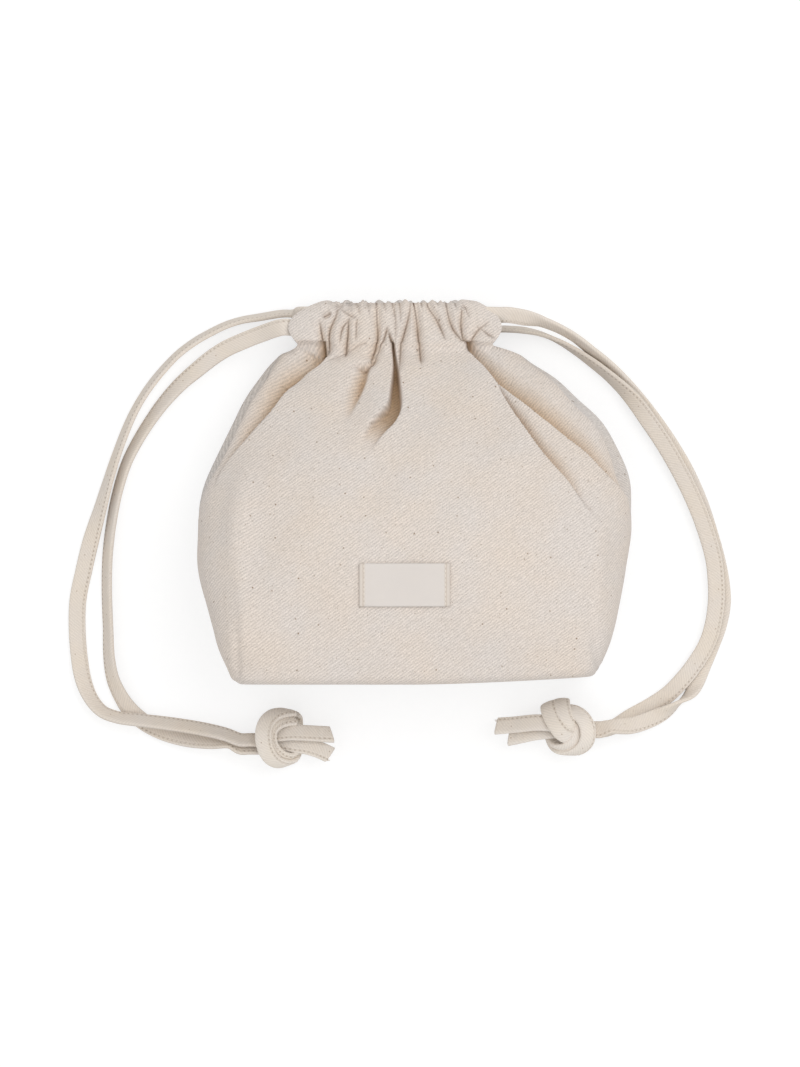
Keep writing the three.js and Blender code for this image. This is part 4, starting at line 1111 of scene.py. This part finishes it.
# Tapes
FACE_POINTS = 22
TAPE_POWER = 4.0
WRAP_POWER = 2.6
WRAP_THICK = 0.0032
EDGE_STITCH = 0.0013
STITCH_STEP = 0.0023
GROOVE_DEPTH = 0.00025
GROOVE_WIDE = 0.0005
STITCH_LEVEL = 0.93
UNDER_SIDE = 0.02


def tape_frame(places, facings):
    along = unit(np.gradient(places, axis=0))
    flat = unit(facings - (facings * along).sum(axis=1, keepdims=True) * along)
    return along, flat, np.cross(flat, along)


def tape_section(edge, thick, power):
    """A tape's section: across it, up from its middle, and where that is on the flat cloth.

    The tape is stitched along one edge. On the cloth, its under side lies that far beside its upper one.
    """
    turn = np.linspace(0, math.pi, FACE_POINTS)
    across = np.cos(turn)
    from_stitches = edge * across * TAPE_WIDTH / 2 - TAPE_WIDTH / 2 + EDGE_STITCH
    groove = GROOVE_DEPTH * np.exp(-(from_stitches / GROOVE_WIDE) ** 2)
    lift = thick / 2 * (1 - np.abs(across) ** power) ** (1 / power) - groove * np.sin(turn)
    wide = TAPE_WIDTH / 2 * across
    back = wide[::-1][1:-1]
    u = np.concatenate([edge * wide, UNDER_SIDE + edge * back, [UNDER_SIDE + edge * wide[0]]])
    return np.concatenate([wide, back]), np.concatenate([lift, -lift[::-1][1:-1]]), u


def tape_object(name, places, facings, material, swell=None, edge=1, thick=TAPE_THICK, power=TAPE_POWER,
                slant=0.0):
    """A flat folded tape through places. slant is how much longer its end is on one edge."""
    along, flat, across = tape_frame(places, facings)
    wide, lift, u = tape_section(edge, thick, power)
    swelling = np.ones(len(places)) if swell is None else swell
    rings = (places[:, None] + across[:, None] * wide[None, :, None]
             + flat[:, None] * (lift[None, :] * swelling[:, None])[..., None])
    run = lengths_along(places)
    cut = slant * ease(run, run[-1] - TAPE_WIDTH, run[-1])
    rings += along[:, None] * (cut[:, None] * wide[None, :] / TAPE_WIDTH)[..., None]
    uv = np.stack(np.broadcast_arrays(u[None, :], run[:, None]), axis=2)
    return grid_object(name, rings, uv, material, wrapped=True)


def stitch_lines(places, facings, edge, thick=TAPE_THICK):
    """Where the thread shows along one edge of a tape, on both of its faces."""
    _, flat, across = tape_frame(places, facings)
    beside = places + across * edge * (TAPE_WIDTH / 2 - EDGE_STITCH)
    return [beside + flat * side * (thick / 2 * STITCH_LEVEL - GROOVE_DEPTH) for side in (1, -1)]


# Where the free strands lie: x, y, the space under the tape, and its twist in degrees
LEFT_FRONT_ROUTE = [
    (-0.078, 0.0789, 0.0166, 0), (-0.0875, 0.0752, 0.0126, 4), (-0.095, 0.0718, 0.0096, 8),
    (-0.1025, 0.067, 0.007, 14), (-0.11, 0.061, 0.0048, 24), (-0.1175, 0.0546, 0.003, 36),
    (-0.126, 0.0454, 0.0014, 46), (-0.1335, 0.0352, 0.0005, 53), (-0.1398, 0.025, 0.0003, 56),
    (-0.145, 0.0146, 0.0003, 58), (-0.1496, 0.0, 0.0003, 60), (-0.1526, -0.015, 0.0003, 60),
    (-0.1546, -0.032, 0.0003, 60), (-0.155, -0.05, 0.0003, 60), (-0.1544, -0.068, 0.0003, 60),
    (-0.1538, -0.084, 0.0003, 54), (-0.1518, -0.0946, 0.0003, 46), (-0.1474, -0.104, 0.0003, 34),
    (-0.1428, -0.1104, 0.0003, 16), (-0.136, -0.1162, 0.0003, 0), (-0.127, -0.1208, 0.0003, -14),
    (-0.115, -0.1244, 0.001, -30), (-0.103, -0.1258, 0.0034, -40), (-0.093, -0.1258, 0.0056, -45),
]
LEFT_BACK_ROUTE = [
    (-0.078, 0.0878, 0.0006, 72), (-0.0875, 0.0862, 0.0003, 74), (-0.095, 0.0838, 0.0003, 73),
    (-0.1025, 0.0802, 0.0003, 72), (-0.11, 0.076, 0.0003, 72), (-0.12, 0.0684, 0.0003, 72),
    (-0.1315, 0.0556, 0.0003, 70), (-0.1383, 0.0456, 0.0003, 70), (-0.1435, 0.0356, 0.0003, 68),
    (-0.1494, 0.0206, 0.0003, 66), (-0.1543, 0.0056, 0.0003, 60), (-0.1586, -0.0094, 0.0003, 46),
    (-0.163, -0.0244, 0.0003, 20), (-0.1666, -0.0394, 0.0003, 2), (-0.1696, -0.0544, 0.0003, 0),
    (-0.17, -0.0694, 0.0003, 0), (-0.1688, -0.0844, 0.0003, -8), (-0.1668, -0.095, 0.0003, -24),
    (-0.163, -0.104, 0.0003, -40), (-0.1574, -0.1104, 0.001, -50), (-0.1494, -0.1135, 0.0028, -52),
    (-0.14, -0.1147, 0.004, -48), (-0.13, -0.1158, 0.0048, -46), (-0.1194, -0.1172, 0.0054, -44),
    (-0.106, -0.1194, 0.0072, -44), (-0.095, -0.122, 0.0088, -45),
]
RIGHT_FRONT_ROUTE = [
    (0.055, 0.0873, 0.0184, 26), (0.064, 0.0852, 0.0126, 60), (0.073, 0.0816, 0.008, 66),
    (0.081, 0.077, 0.0046, 67), (0.089, 0.0706, 0.0022, 62), (0.097, 0.0639, 0.0008, 58),
    (0.105, 0.0552, 0.0003, 44), (0.112, 0.0464, 0.0003, 22), (0.12, 0.036, 0.0003, 0),
    (0.128, 0.0244, 0.0003, 0), (0.136, 0.0108, 0.0003, 0), (0.1428, -0.0042, 0.0003, 0),
    (0.1478, -0.0192, 0.0003, 0), (0.152, -0.0342, 0.0003, 0), (0.1542, -0.046, 0.0003, 0),
    (0.1548, -0.056, 0.0003, 0), (0.1528, -0.067, 0.0003, 0), (0.1492, -0.077, 0.0003, 0),
    (0.1452, -0.0866, 0.0003, 4), (0.1418, -0.095, 0.0003, 12), (0.139, -0.1009, 0.0003, 50),
    (0.1338, -0.1054, 0.0003, 90), (0.1278, -0.1098, 0.001, 126), (0.1204, -0.1136, 0.0026, 162),
    (0.1096, -0.1174, 0.0066, 190), (0.0982, -0.1182, 0.01, 220),
]
RIGHT_BACK_ROUTE = [
    (0.055, 0.0812, 0.0006, -76), (0.064, 0.0792, 0.0003, -84), (0.073, 0.0753, 0.0003, -96),
    (0.081, 0.0706, 0.0003, -106), (0.089, 0.065, 0.0007, -114), (0.097, 0.0587, 0.0018, -120),
    (0.105, 0.0514, 0.0028, -134), (0.111, 0.0448, 0.0034, -156), (0.118, 0.035, 0.0034, -180),
    (0.125, 0.0246, 0.0034, -180), (0.133, 0.0108, 0.0034, -180), (0.1404, -0.0042, 0.0034, -180),
    (0.1462, -0.0192, 0.0034, -180), (0.1504, -0.0342, 0.0034, -180), (0.1516, -0.046, 0.0034, -180),
    (0.1516, -0.056, 0.0034, -180), (0.15, -0.067, 0.0034, -180), (0.147, -0.0764, 0.0034, -180),
    (0.1416, -0.0856, 0.0034, -180), (0.135, -0.0942, 0.0035, -180), (0.1276, -0.1018, 0.0014, -180),
    (0.1188, -0.1078, 0.0003, -180), (0.1096, -0.1128, 0.0006, -170), (0.0982, -0.119, 0.0056, -137),
]

# How each strand leaves its casing and enters its knot. The edge is the stitched one.
LEFT_STRANDS = {
    "front": {"lane": (LOW_LANE, FRONT_LANE), "exit_rise": 0.003, "route": LEFT_FRONT_ROUTE, "edge": -1,
              "knot_side": -1, "knot_turn": -45, "knot_aside": (-0.0034, 0.0)},
    "back": {"lane": (HIGH_LANE, BACK_LANE), "exit_rise": 0.001, "route": LEFT_BACK_ROUTE, "edge": 1,
             "knot_side": 1, "knot_turn": -45, "knot_aside": (-0.0016, 0.0)},
}
RIGHT_STRANDS = {
    "front": {"lane": (HIGH_LANE, FRONT_LANE), "exit_rise": 0.0, "route": RIGHT_FRONT_ROUTE, "edge": -1,
              "knot_side": 1, "knot_turn": 198, "knot_aside": (-0.0023, 0.0)},
    "back": {"lane": (LOW_LANE, BACK_LANE), "exit_rise": 0.0024, "route": RIGHT_BACK_ROUTE, "edge": -1,
             "knot_side": -1, "knot_turn": -162, "knot_aside": (0.0, -0.0006)},
}
KNOT_FACING = np.array([0, math.sqrt(0.5), math.sqrt(0.5)])
KNOT_ENTRY = 0.0134
KNOT_REACH = 0.006
PAIR_OFFSET = (TAPE_THICK + LANE_GAP) / 2
LEAD = TAPE_WIDTH / 2
STRAND_STEPS = 10

# Along the stub: how far inside the casing's end, as a share of the stub, and how far it has turned
STUB_TURNS = ((1, 0), (0.75, 0), (0.5, 0), (0.25, 0.5), (0, 1), (-LEAD / STUB, 1))


def strand_run(out, strand):
    """The strand from inside its casing to its knot. out is -1 for the left cord and 1 for the right."""
    end = RIGHT_END if out > 0 else LEFT_END
    knot_x, knot_y = RIGHT_KNOT if out > 0 else LEFT_KNOT
    aside_y, aside_z = strand["knot_aside"]
    entry = np.array([knot_x + out * KNOT_ENTRY, knot_y + aside_y, KNOT_LIFT + aside_z])
    entry += KNOT_FACING * strand["knot_side"] * PAIR_OFFSET
    lane_y, lane_z = strand["lane"]
    first_twist = strand["route"][0][3]
    rows = []
    for part, turned in STUB_TURNS:
        exit_y = lane_y + turned * strand["exit_rise"]
        rows.append((end - out * part * STUB, exit_y, lane_z, turned * first_twist))
    for x, y, under, twist in strand["route"]:
        turn = math.radians(twist)
        rise = (TAPE_WIDTH * abs(math.sin(turn)) + TAPE_THICK * abs(math.cos(turn))) / 2
        rows.append((x, y, under + rise, twist))
    for inwards in (-LEAD, 0, KNOT_REACH):
        rows.append((*(entry - np.array([out * inwards, 0, 0])), strand["knot_turn"]))
    run = smooth_line(rows, STRAND_STEPS)
    places = run[:, :3]
    along = unit(np.gradient(places, axis=0))
    up = np.array([0, 0, 1]) - along[:, 2:] * along
    twist = np.radians(run[:, 3:])
    return places, unit(up) * np.cos(twist) + np.cross(along, unit(up)) * np.sin(twist)


# The wraps of the knots, about each knot's middle. On the left one two rings of tape close over the
# strands. On the right one both tapes come round from the strands, pass behind, and tuck in again in front.
LEFT_WRAPS = [
    [(0.0085, 0.013, -0.0005), (0.004, 0.0133, 0.0026), (-0.001, 0.0119, 0.0054),
     (-0.0044, 0.0085, 0.0078), (-0.006, 0.0036, 0.0092), (-0.0058, -0.0014, 0.0092),
     (-0.0042, -0.0066, 0.0078), (-0.0008, -0.0108, 0.0052), (0.0038, -0.0124, 0.0022),
     (0.008, -0.0108, -0.0014), (0.0096, -0.006, -0.005), (0.0098, 0.0, -0.0066),
     (0.0098, 0.0064, -0.006), (0.0096, 0.011, -0.0038), (0.0085, 0.013, -0.0005)],
    [(0.0096, 0.0094, 0.0016), (0.0046, 0.0094, 0.0038), (0.0002, 0.0079, 0.0058),
     (-0.0028, 0.0046, 0.007), (-0.0034, 0.0008, 0.0072), (-0.0028, -0.003, 0.0068),
     (-0.0006, -0.0066, 0.0056), (0.003, -0.009, 0.0036), (0.0072, -0.0092, 0.001),
     (0.0098, -0.006, -0.0024), (0.0106, 0.0, -0.0044), (0.0106, 0.0056, -0.0026),
     (0.0096, 0.0094, 0.0016)],
    [(-0.009, -0.0006, -0.0016), (-0.003, -0.0026, -0.0024), (0.003, -0.0054, -0.0026),
     (0.0084, -0.007, -0.0036)],
]
RIGHT_WRAPS = [
    [(0.0, 0.0094, 0.002), (0.0044, 0.0082, 0.0044), (0.0084, 0.0052, 0.0064), (0.0108, 0.001, 0.0074),
     (0.0114, -0.0036, 0.0074), (0.0102, -0.008, 0.006), (0.0068, -0.0114, 0.0036),
     (0.002, -0.0126, 0.0006), (-0.003, -0.011, -0.0026), (-0.0058, -0.006, -0.0054),
     (-0.0064, 0.0, -0.0066), (-0.0064, 0.006, -0.006), (-0.0074, 0.0104, -0.0032),
     (-0.0084, 0.0114, 0.0008), (-0.0082, 0.009, 0.0046), (-0.0066, 0.0048, 0.007),
     (-0.0042, 0.0006, 0.0082), (-0.001, -0.003, 0.0078), (0.0028, -0.0044, 0.0058),
     (0.0064, -0.0042, 0.0034), (0.009, -0.004, 0.0016)],
    [(0.0084, 0.0024, 0.0036), (0.0078, -0.0016, 0.005), (0.0066, -0.0054, 0.0054),
     (0.004, -0.0086, 0.0046), (0.0, -0.0104, 0.0028), (-0.004, -0.0094, 0.0),
     (-0.005, -0.0058, -0.0034), (-0.0036, -0.002, -0.0066), (-0.002, 0.004, -0.0078),
     (-0.0016, 0.0104, -0.0054), (-0.0018, 0.0132, -0.0008), (-0.0018, 0.0114, 0.0038),
     (-0.0012, 0.0084, 0.0064), (-0.0002, 0.0048, 0.0076), (0.0018, 0.0014, 0.0074),
     (0.0048, -0.0006, 0.0056), (0.0082, -0.0014, 0.0034), (0.0104, -0.0014, 0.0014)],
]
WRAP_LEAN = (0.3, 0.5, 1.0)
WRAP_STEPS = 9

# The cut ends, about each knot's middle: the way out from under the wraps, and the way that the tape faces
LEFT_TAILS = {
    "upper": ([(0.0, 0.0024, 0.003), (0.008, 0.0032, 0.0046), (0.0154, 0.003, 0.005),
               (0.022, 0.0026, 0.0042), (0.028, 0.0022, 0.0026)], (0, 0.45, 0.9), -0.0022),
    "lower": ([(0.0, -0.001, 0.0006), (0.008, -0.0026, 0.0018), (0.0154, -0.0036, 0.0018),
               (0.022, -0.0056, 0.0004), (0.0272, -0.008, -0.002)], (0, 0.25, 0.97), 0.0022),
}
RIGHT_TAILS = {
    "upper": ([(0.0, 0.0016, 0.0024), (-0.009, 0.0022, 0.004), (-0.0154, 0.0024, 0.004),
               (-0.025, 0.0014, 0.0026), (-0.0345, 0.0006, 0.0006)], (0, 0.35, 0.94), 0.002),
    "lower": ([(0.0, -0.0012, 0.0), (-0.009, -0.0018, 0.001), (-0.0154, -0.0026, 0.0008),
               (-0.022, -0.004, -0.0004), (-0.028, -0.0052, -0.0022)], (0, 0.45, 0.9), 0.0018),
}
HEM = 0.006
HEM_SWELL = 0.35
HEM_STEP = 0.001
TAIL_STEPS = 10
TURN_STEPS = 40
CASING_STEPS = 12


def knot_middle(out):
    return np.array([*(RIGHT_KNOT if out > 0 else LEFT_KNOT), KNOT_LIFT])


def wrap_run(out, wrap):
    """One wrap of a knot: its flat side faces out from the knot's middle."""
    run = smooth_line(wrap, WRAP_STEPS)
    return knot_middle(out) + run, unit(run * np.array(WRAP_LEAN))


def tail_run(out, rows, facing):
    run = smooth_line(rows, TAIL_STEPS)
    return knot_middle(out) + run, np.broadcast_to(np.array(facing, float), run.shape)


def loop_run(side, front_lane, back_lane):
    """The tape that stays in the casings: along the front one, round the far end, and back."""
    end = RIGHT_END if side > 0 else LEFT_END
    start = (LEFT_END if side > 0 else RIGHT_END) + side * (STUB + LANE_GAP)
    turn_at = end - side * (TURN_REACH + TAPE_THICK / 2 + TURN_MARGIN)
    middle = (FRONT_LANE + BACK_LANE) / 2
    reach = (FRONT_LANE - BACK_LANE) / 2
    angle = np.linspace(0, math.pi, TURN_STEPS)
    x = turn_at + side * TURN_REACH * np.sin(angle)
    y = front_lane + ease(angle / math.pi, 0.25, 0.75) * (back_lane - front_lane)
    turn = np.stack([x, y, middle + reach * np.cos(angle)], axis=1)
    first = np.linspace([start, front_lane, FRONT_LANE], turn[0], CASING_STEPS)[:-1]
    last = np.linspace(turn[-1], [start, back_lane, BACK_LANE], CASING_STEPS)[1:]
    up = np.tile([0, 0, 1.0], (CASING_STEPS - 1, 1))
    turning = np.stack([side * np.sin(angle), 0 * angle, np.cos(angle)], axis=1)
    return np.concatenate([first, turn, last]), np.concatenate([up, turning, -up])


def strand_pieces(body, out, strands, tape):
    """A cord's free strands, each with its node and its path, and the lines of their stitches."""
    made = []
    lines = []
    for place, strand in strands.items():
        node = f"{body}_{place}_strand"
        places, facings = strand_run(out, strand)
        piece = tape_object(f"{node}_tape", places, facings, tape, edge=strand["edge"])
        lines += stitch_lines(places, facings, strand["edge"])
        made.append((piece, node, places))
    return made, lines


def knot_wraps(side, out, wraps, knotted):
    """The wraps of a cord's knot, and the lines of their stitches."""
    parts = []
    lines = []
    for place, wrap in enumerate(wraps):
        places, facings = wrap_run(out, wrap)
        name = f"{side}_knot_{place}_tape"
        parts.append(tape_object(name, places, facings, knotted, None, 1, WRAP_THICK, WRAP_POWER))
        lines += stitch_lines(places, facings, 1, WRAP_THICK)
    return parts, lines


def tail_pieces(body, out, tails, knotted):
    """A cord's two cut ends, each with its hem, and the lines of their stitches."""
    made = []
    lines = []
    for place, (rows, facing, slant) in tails.items():
        places, facings = tail_run(out, rows, facing)
        run = lengths_along(places)
        hem = 1 + HEM_SWELL * ease(run, run[-1] - HEM, run[-1] - HEM + HEM_STEP)
        piece = tape_object(f"{body}_{place}_tail_tape", places, facings, knotted, hem, -1, slant=slant)
        lines += stitch_lines(places, facings, -1)
        fit(piece, body, "tape", f"{body}_{place}_tail")
        made.append(piece)
    return made, lines


def cord_pieces(side, out, strands, wraps, tails, materials, tree):
    """One cord: its two strands, its knot, its two tails and the stitching along its edges."""
    tape, knotted, thread = materials
    body = side + "_cord"
    made, strand_lines = strand_pieces(body, out, strands, tape)
    wrapped, knot_lines = knot_wraps(side, out, wraps, knotted)
    ends, tail_lines = tail_pieces(body, out, tails, knotted)
    knot = join(f"{side}_knot_tapes", wrapped)
    fit(knot, body, "tape", f"{side}_knot")
    lines = strand_lines + knot_lines + tail_lines
    stitches = sew(f"{body}_stitches", lines, STITCH_STEP, CORD_STITCH, thread, tree)
    fit(stitches, body, "thread")
    for piece, node, places in made:
        fit(piece, body, "tape", node)


def join(name, parts):
    """Several meshes as one."""
    whole = bmesh.new()
    for part in parts:
        whole.from_mesh(part.data)
    mesh = bpy.data.meshes.new(name)
    whole.to_mesh(mesh)
    whole.free()
    material = parts[0].data.materials[0]
    for part in parts:
        bpy.data.objects.remove(part)
    return new_object(name, mesh, material)


# The label: sewn down at its short ends, and a little loose along its middle
LABEL_COLUMNS = 60
LABEL_ROWS = 30
LABEL_LOOSE = 0.01
LABEL_CURL = 0.0003
LABEL_RIPPLE = 0.00025
LABEL_GAP = 0.0003
THREAD_LIFT = 0.0001


def label_piece(material):
    across = np.linspace(0.5, -0.5, LABEL_COLUMNS)
    up = np.linspace(-0.5, 0.5, LABEL_ROWS)
    u, v = np.meshgrid(across, up)
    x = LABEL_ASIDE + u * LABEL_WIDTH
    height = LABEL_ABOVE + v * LABEL_HEIGHT
    loose = 1 - ease(np.abs(u) * LABEL_WIDTH, LABEL_LOOSE, LABEL_WIDTH / 2 - STITCH_INSET)
    lift = LABEL_CURL * loose * np.abs(2 * v) ** 3 + LABEL_RIPPLE * np.sin(9 * u + 2 * v) * loose
    z = front_face(x, height) + slack(x, BASE_Y + height) + LABEL_THICK + LABEL_GAP + lift
    grid = np.stack([x, BASE_Y + height, z], axis=2)
    piece = grid_object("label_cloth", grid, np.stack([x, height], axis=2), material, turned=True)
    solid = piece.modifiers.new("thickness", "SOLIDIFY")
    solid.thickness = LABEL_THICK
    solid.offset = -1
    return piece, grid


def label_stitches(grid, thread, tree):
    made = {}
    for side, column in (("left", 1), ("right", -1)):
        x = LABEL_ASIDE - column * (LABEL_WIDTH / 2 - STITCH_INSET)
        nearest = int(np.argmin(np.abs(grid[0, :, 0] - x)))
        line = grid[2:-2, nearest] + np.array([0, 0, THREAD_LIFT])
        made[side] = sew(f"label_{side}_thread", [line], LABEL_STITCH_STEP, LABEL_STITCH, thread, tree)
    return made


# Seam allowances inside the bag, each set in a little from the cloth that it joins
SEAM_RIPPLE = 0.0006
SEAM_ROW = 0.35
SEAM_THREAD_LEVEL = 1.1
SIDE_SEAM_HEIGHTS = (0.0045, 0.158)
SIDE_SEAM_STEPS = 90
SIDE_SEAM_INSET = 0.002
CORNER_SEAM_END = 0.016
CORNER_SEAM_STEPS = 40
CORNER_SEAM_INSET = 0.0022
CORNER_SEAM_HEIGHT = 0.0027
BASE_SEAM_REACH = 0.08
BASE_SEAM_STEPS = 80
BASE_SEAM_HEIGHT = 0.0016


def seam_strip(name, outer, inner, aside, material):
    """Two thicknesses of cloth along a seam, from its stitched edge to its raw one."""
    ripple = SEAM_RIPPLE * np.sin(np.arange(len(outer)) * 1.7)[:, None]
    sewn = [outer - aside * CLOTH, outer + aside * CLOTH]
    raw = [inner + aside * (CLOTH + ripple), inner - aside * (CLOTH - ripple)]
    grid = settle(np.stack(sewn + raw, axis=1))
    run = lengths_along(outer)
    around = np.cumsum([0, 2 * CLOTH, ALLOWANCE, 2 * CLOTH, ALLOWANCE])
    uv = np.stack(np.broadcast_arrays(around[None, :], run[:, None]), axis=2)
    return grid_object(name, grid, uv, material, wrapped=True)


def side_edges(side):
    """A side seam: its stitched edge, its raw edge, and the way across its two cloths."""
    heights = np.linspace(*SIDE_SEAM_HEIGHTS, SIDE_SEAM_STEPS)
    tuck = (SEAM_TUCK + (RIGHT_LAYER if side > 0 else LEFT_LAYER)) * over_shoulders(heights)
    near = outline_at(heights, side) - side * (tuck + SIDE_SEAM_INSET)
    outer = np.stack([near, BASE_Y + heights, seam_level(heights)], axis=1)
    return outer, outer - np.array([side * ALLOWANCE, 0, 0]), np.array([0, 0, 1.0])


def corner_edges(side):
    """The same for the seam across a boxed corner."""
    z = np.linspace(CORNER_SEAM_END, BASE_DEPTH - CORNER_SEAM_END, CORNER_SEAM_STEPS)
    near = np.full_like(z, side * (BASE_WIDTH / 2 - CORNER_SEAM_INSET))
    outer = np.stack([near, np.full_like(z, BASE_Y + CORNER_SEAM_HEIGHT), z], axis=1)
    return outer, outer - np.array([side * ALLOWANCE, 0, 0]), np.array([0, 1.0, 0])


def base_edges():
    """The same for the seam along the base."""
    x = np.linspace(-BASE_SEAM_REACH, BASE_SEAM_REACH, BASE_SEAM_STEPS)
    y = np.full_like(x, BASE_Y + BASE_SEAM_HEIGHT)
    outer = np.stack([x, y, np.full_like(x, BASE_DEPTH / 2)], axis=1)
    return outer, outer + np.array([0, ALLOWANCE, 0]), np.array([0, 0, 1.0])


def seam_pieces(canvas, thread, tree):
    edges = {}
    for side, name in ((1, "right"), (-1, "left")):
        edges[f"{name}_side_seam"] = side_edges(side)
        edges[f"{name}_corner_seam"] = corner_edges(side)
    edges["base_seam"] = base_edges()
    for node, (outer, inner, aside) in edges.items():
        strip = seam_strip(node + "_cloth", outer, inner, aside, canvas)
        fit(strip, "bag", "canvas", node)
        row = outer + (inner - outer) * SEAM_ROW
        level = aside * CLOTH * SEAM_THREAD_LEVEL
        rows = [settle(row + level), settle(row - level)]
        stitches = sew(node + "_thread", rows, SEAM_STITCH_STEP, SEAM_STITCH, thread, tree)
        fit(stitches, "bag", "thread")


# The room: a white floor, soft light, and the view straight down
VIEW_CENTRE = (-0.0075, -0.021)
VIEW_HEIGHT = 6.0
VIEW_LEVEL = 0.042
VIEW_SPAN = 0.5335
WHITE = (1, 1, 1, 1)
FLOOR_REACH = 12
FLOOR_LEVEL = -0.0002
FLOOR_GREY = (0.8, 0.8, 0.8, 1)
SHADOW_GREY = (0.36, 0.36, 0.36, 1)
FLOOR_GLOW = 0.7
ROOM_GLOW = 0.66


def set_camera():
    camera = bpy.data.cameras.new("camera")
    camera.sensor_fit = "VERTICAL"
    camera.sensor_height = 24
    camera.lens = camera.sensor_height * (VIEW_HEIGHT - VIEW_LEVEL) / VIEW_SPAN
    camera.clip_end = 50
    stand = bpy.data.objects.new("camera", camera)
    stand.location = (*VIEW_CENTRE, VIEW_HEIGHT)
    bpy.context.scene.collection.objects.link(stand)
    bpy.context.scene.camera = stand


def seen_directly(tree):
    path = tree.nodes.new("ShaderNodeLightPath").outputs
    seen = reckon(tree, "MAXIMUM", path["Is Camera Ray"], path["Is Glossy Ray"])
    return reckon(tree, "MAXIMUM", seen, path["Is Transmission Ray"])


def white_light(tree, kind, strength):
    return add_node(tree, kind, {}, {"Color": WHITE, "Strength": strength}).outputs[0]


def by_view(tree, lit, shown):
    """One look for the light that it sends to other things, and another for the eye."""
    inputs = {0: seen_directly(tree), 1: lit, 2: shown}
    return add_node(tree, "ShaderNodeMixShader", {}, inputs).outputs["Shader"]


def lay_floor():
    """A white floor: mostly its own white to the eye, with a soft share of the object's shadow."""
    mesh = bpy.data.meshes.new("floor")
    square = ((-1, -1), (1, -1), (1, 1), (-1, 1))
    corners = [(x * FLOOR_REACH, y * FLOOR_REACH, FLOOR_LEVEL) for x, y in square]
    mesh.from_pydata(corners, [], [(0, 1, 2, 3)])
    material = bpy.data.materials.new("white_floor")
    material.use_nodes = True
    tree = material.node_tree
    tree.nodes.clear()
    plain = add_node(tree, "ShaderNodeBsdfDiffuse", {}, {"Color": FLOOR_GREY}).outputs["BSDF"]
    shadowed = add_node(tree, "ShaderNodeBsdfDiffuse", {}, {"Color": SHADOW_GREY}).outputs["BSDF"]
    white = white_light(tree, "ShaderNodeEmission", FLOOR_GLOW)
    shown = add_node(tree, "ShaderNodeAddShader", {}, {0: shadowed, 1: white}).outputs["Shader"]
    output = tree.nodes.new("ShaderNodeOutputMaterial")
    tree.links.new(by_view(tree, plain, shown), output.inputs["Surface"])
    new_object("floor", mesh, material)


def light_room():
    world = bpy.data.worlds.new("room")
    bpy.context.scene.world = world
    world.use_nodes = True
    tree = world.node_tree
    tree.nodes.clear()
    soft = white_light(tree, "ShaderNodeBackground", ROOM_GLOW)
    white = white_light(tree, "ShaderNodeBackground", 1.0)
    output = tree.nodes.new("ShaderNodeOutputWorld")
    tree.links.new(by_view(tree, soft, white), output.inputs["Surface"])
    hang_lamp("key_lamp", (0.75, 0.65, 1.75), 1.7, 14.5)
    hang_lamp("fill_lamp", (-0.5, -0.9, 1.6), 1.7, 6)


def hang_lamp(name, place, size, power):
    lamp = bpy.data.lights.new(name, "AREA")
    lamp.shape = "DISK"
    lamp.size = size
    lamp.energy = power
    stand = bpy.data.objects.new(name, lamp)
    stand.location = place
    aim = -np.array(place)
    tilt = math.atan2(math.hypot(aim[0], aim[1]), -aim[2])
    stand.rotation_euler = (tilt, 0, math.atan2(-aim[0], aim[1]))
    bpy.context.scene.collection.objects.link(stand)


# Each panel's columns across a side, the face and a side, and the heights of its rows
FRONT_COLUMNS = (40, 250, 40)
FRONT_STEPS = (0.0012, 0.0008, 0.0005)
BACK_COLUMNS = (26, 120, 26)
BACK_STEPS = (0.0018, 0.0011, 0.0009)


def dress_bag(canvas, label, tape, thread, tree):
    # The back panel gets a greyer copy of the canvas, as painted shade
    cool = canvas_cloth("shaded_back_twill", BACK_PAINTED_SHADE)
    front = cloth_panel("front_cloth", 1, FRONT_COLUMNS, FRONT_STEPS, front_depth, canvas)
    back = cloth_panel("back_cloth", -1, BACK_COLUMNS, BACK_STEPS, back_depth, cool)
    fit(front, "bag", "canvas", "front_panel", "front_casing")
    fit(back, "bag", "canvas", "back_panel", "back_casing")
    patch, grid = label_piece(label)
    fit(patch, "bag", "label", "label")
    for side, stitches in label_stitches(grid, thread, tree).items():
        fit(stitches, "bag", "thread", f"label_{side}_stitch")
    for side, turn, lanes in (("left", 1, (LOW_LANE, HIGH_LANE)), ("right", -1, (HIGH_LANE, LOW_LANE))):
        piece = tape_object(f"{side}_cord_loop_tape", *loop_run(turn, *lanes), tape)
        fit(piece, "bag", "tape", f"{side}_cord_mouth_loop")
    seam_pieces(canvas, thread, tree)


def dress_cords(materials, tree):
    cord_pieces("left", -1, LEFT_STRANDS, LEFT_WRAPS, LEFT_TAILS, materials, tree)
    cord_pieces("right", 1, RIGHT_STRANDS, RIGHT_WRAPS, RIGHT_TAILS, materials, tree)


bpy.context.scene.view_settings.view_transform = "Standard"
set_camera()
lay_floor()
light_room()
stitching = stitch_tree()
tape_finish = tape_cloth("cream_tape", PLAIN)
# A brighter copy of the tape for the knots and tails, as painted light
knot_finish_painted_light = tape_cloth("knot_tape_painted_light", KNOT_PAINTED_LIGHT)
thread_finish = sewing_thread()
dress_cords((tape_finish, knot_finish_painted_light, thread_finish), stitching)
dress_bag(canvas_cloth("cream_twill", PLAIN), label_cloth(), tape_finish, thread_finish, stitching)
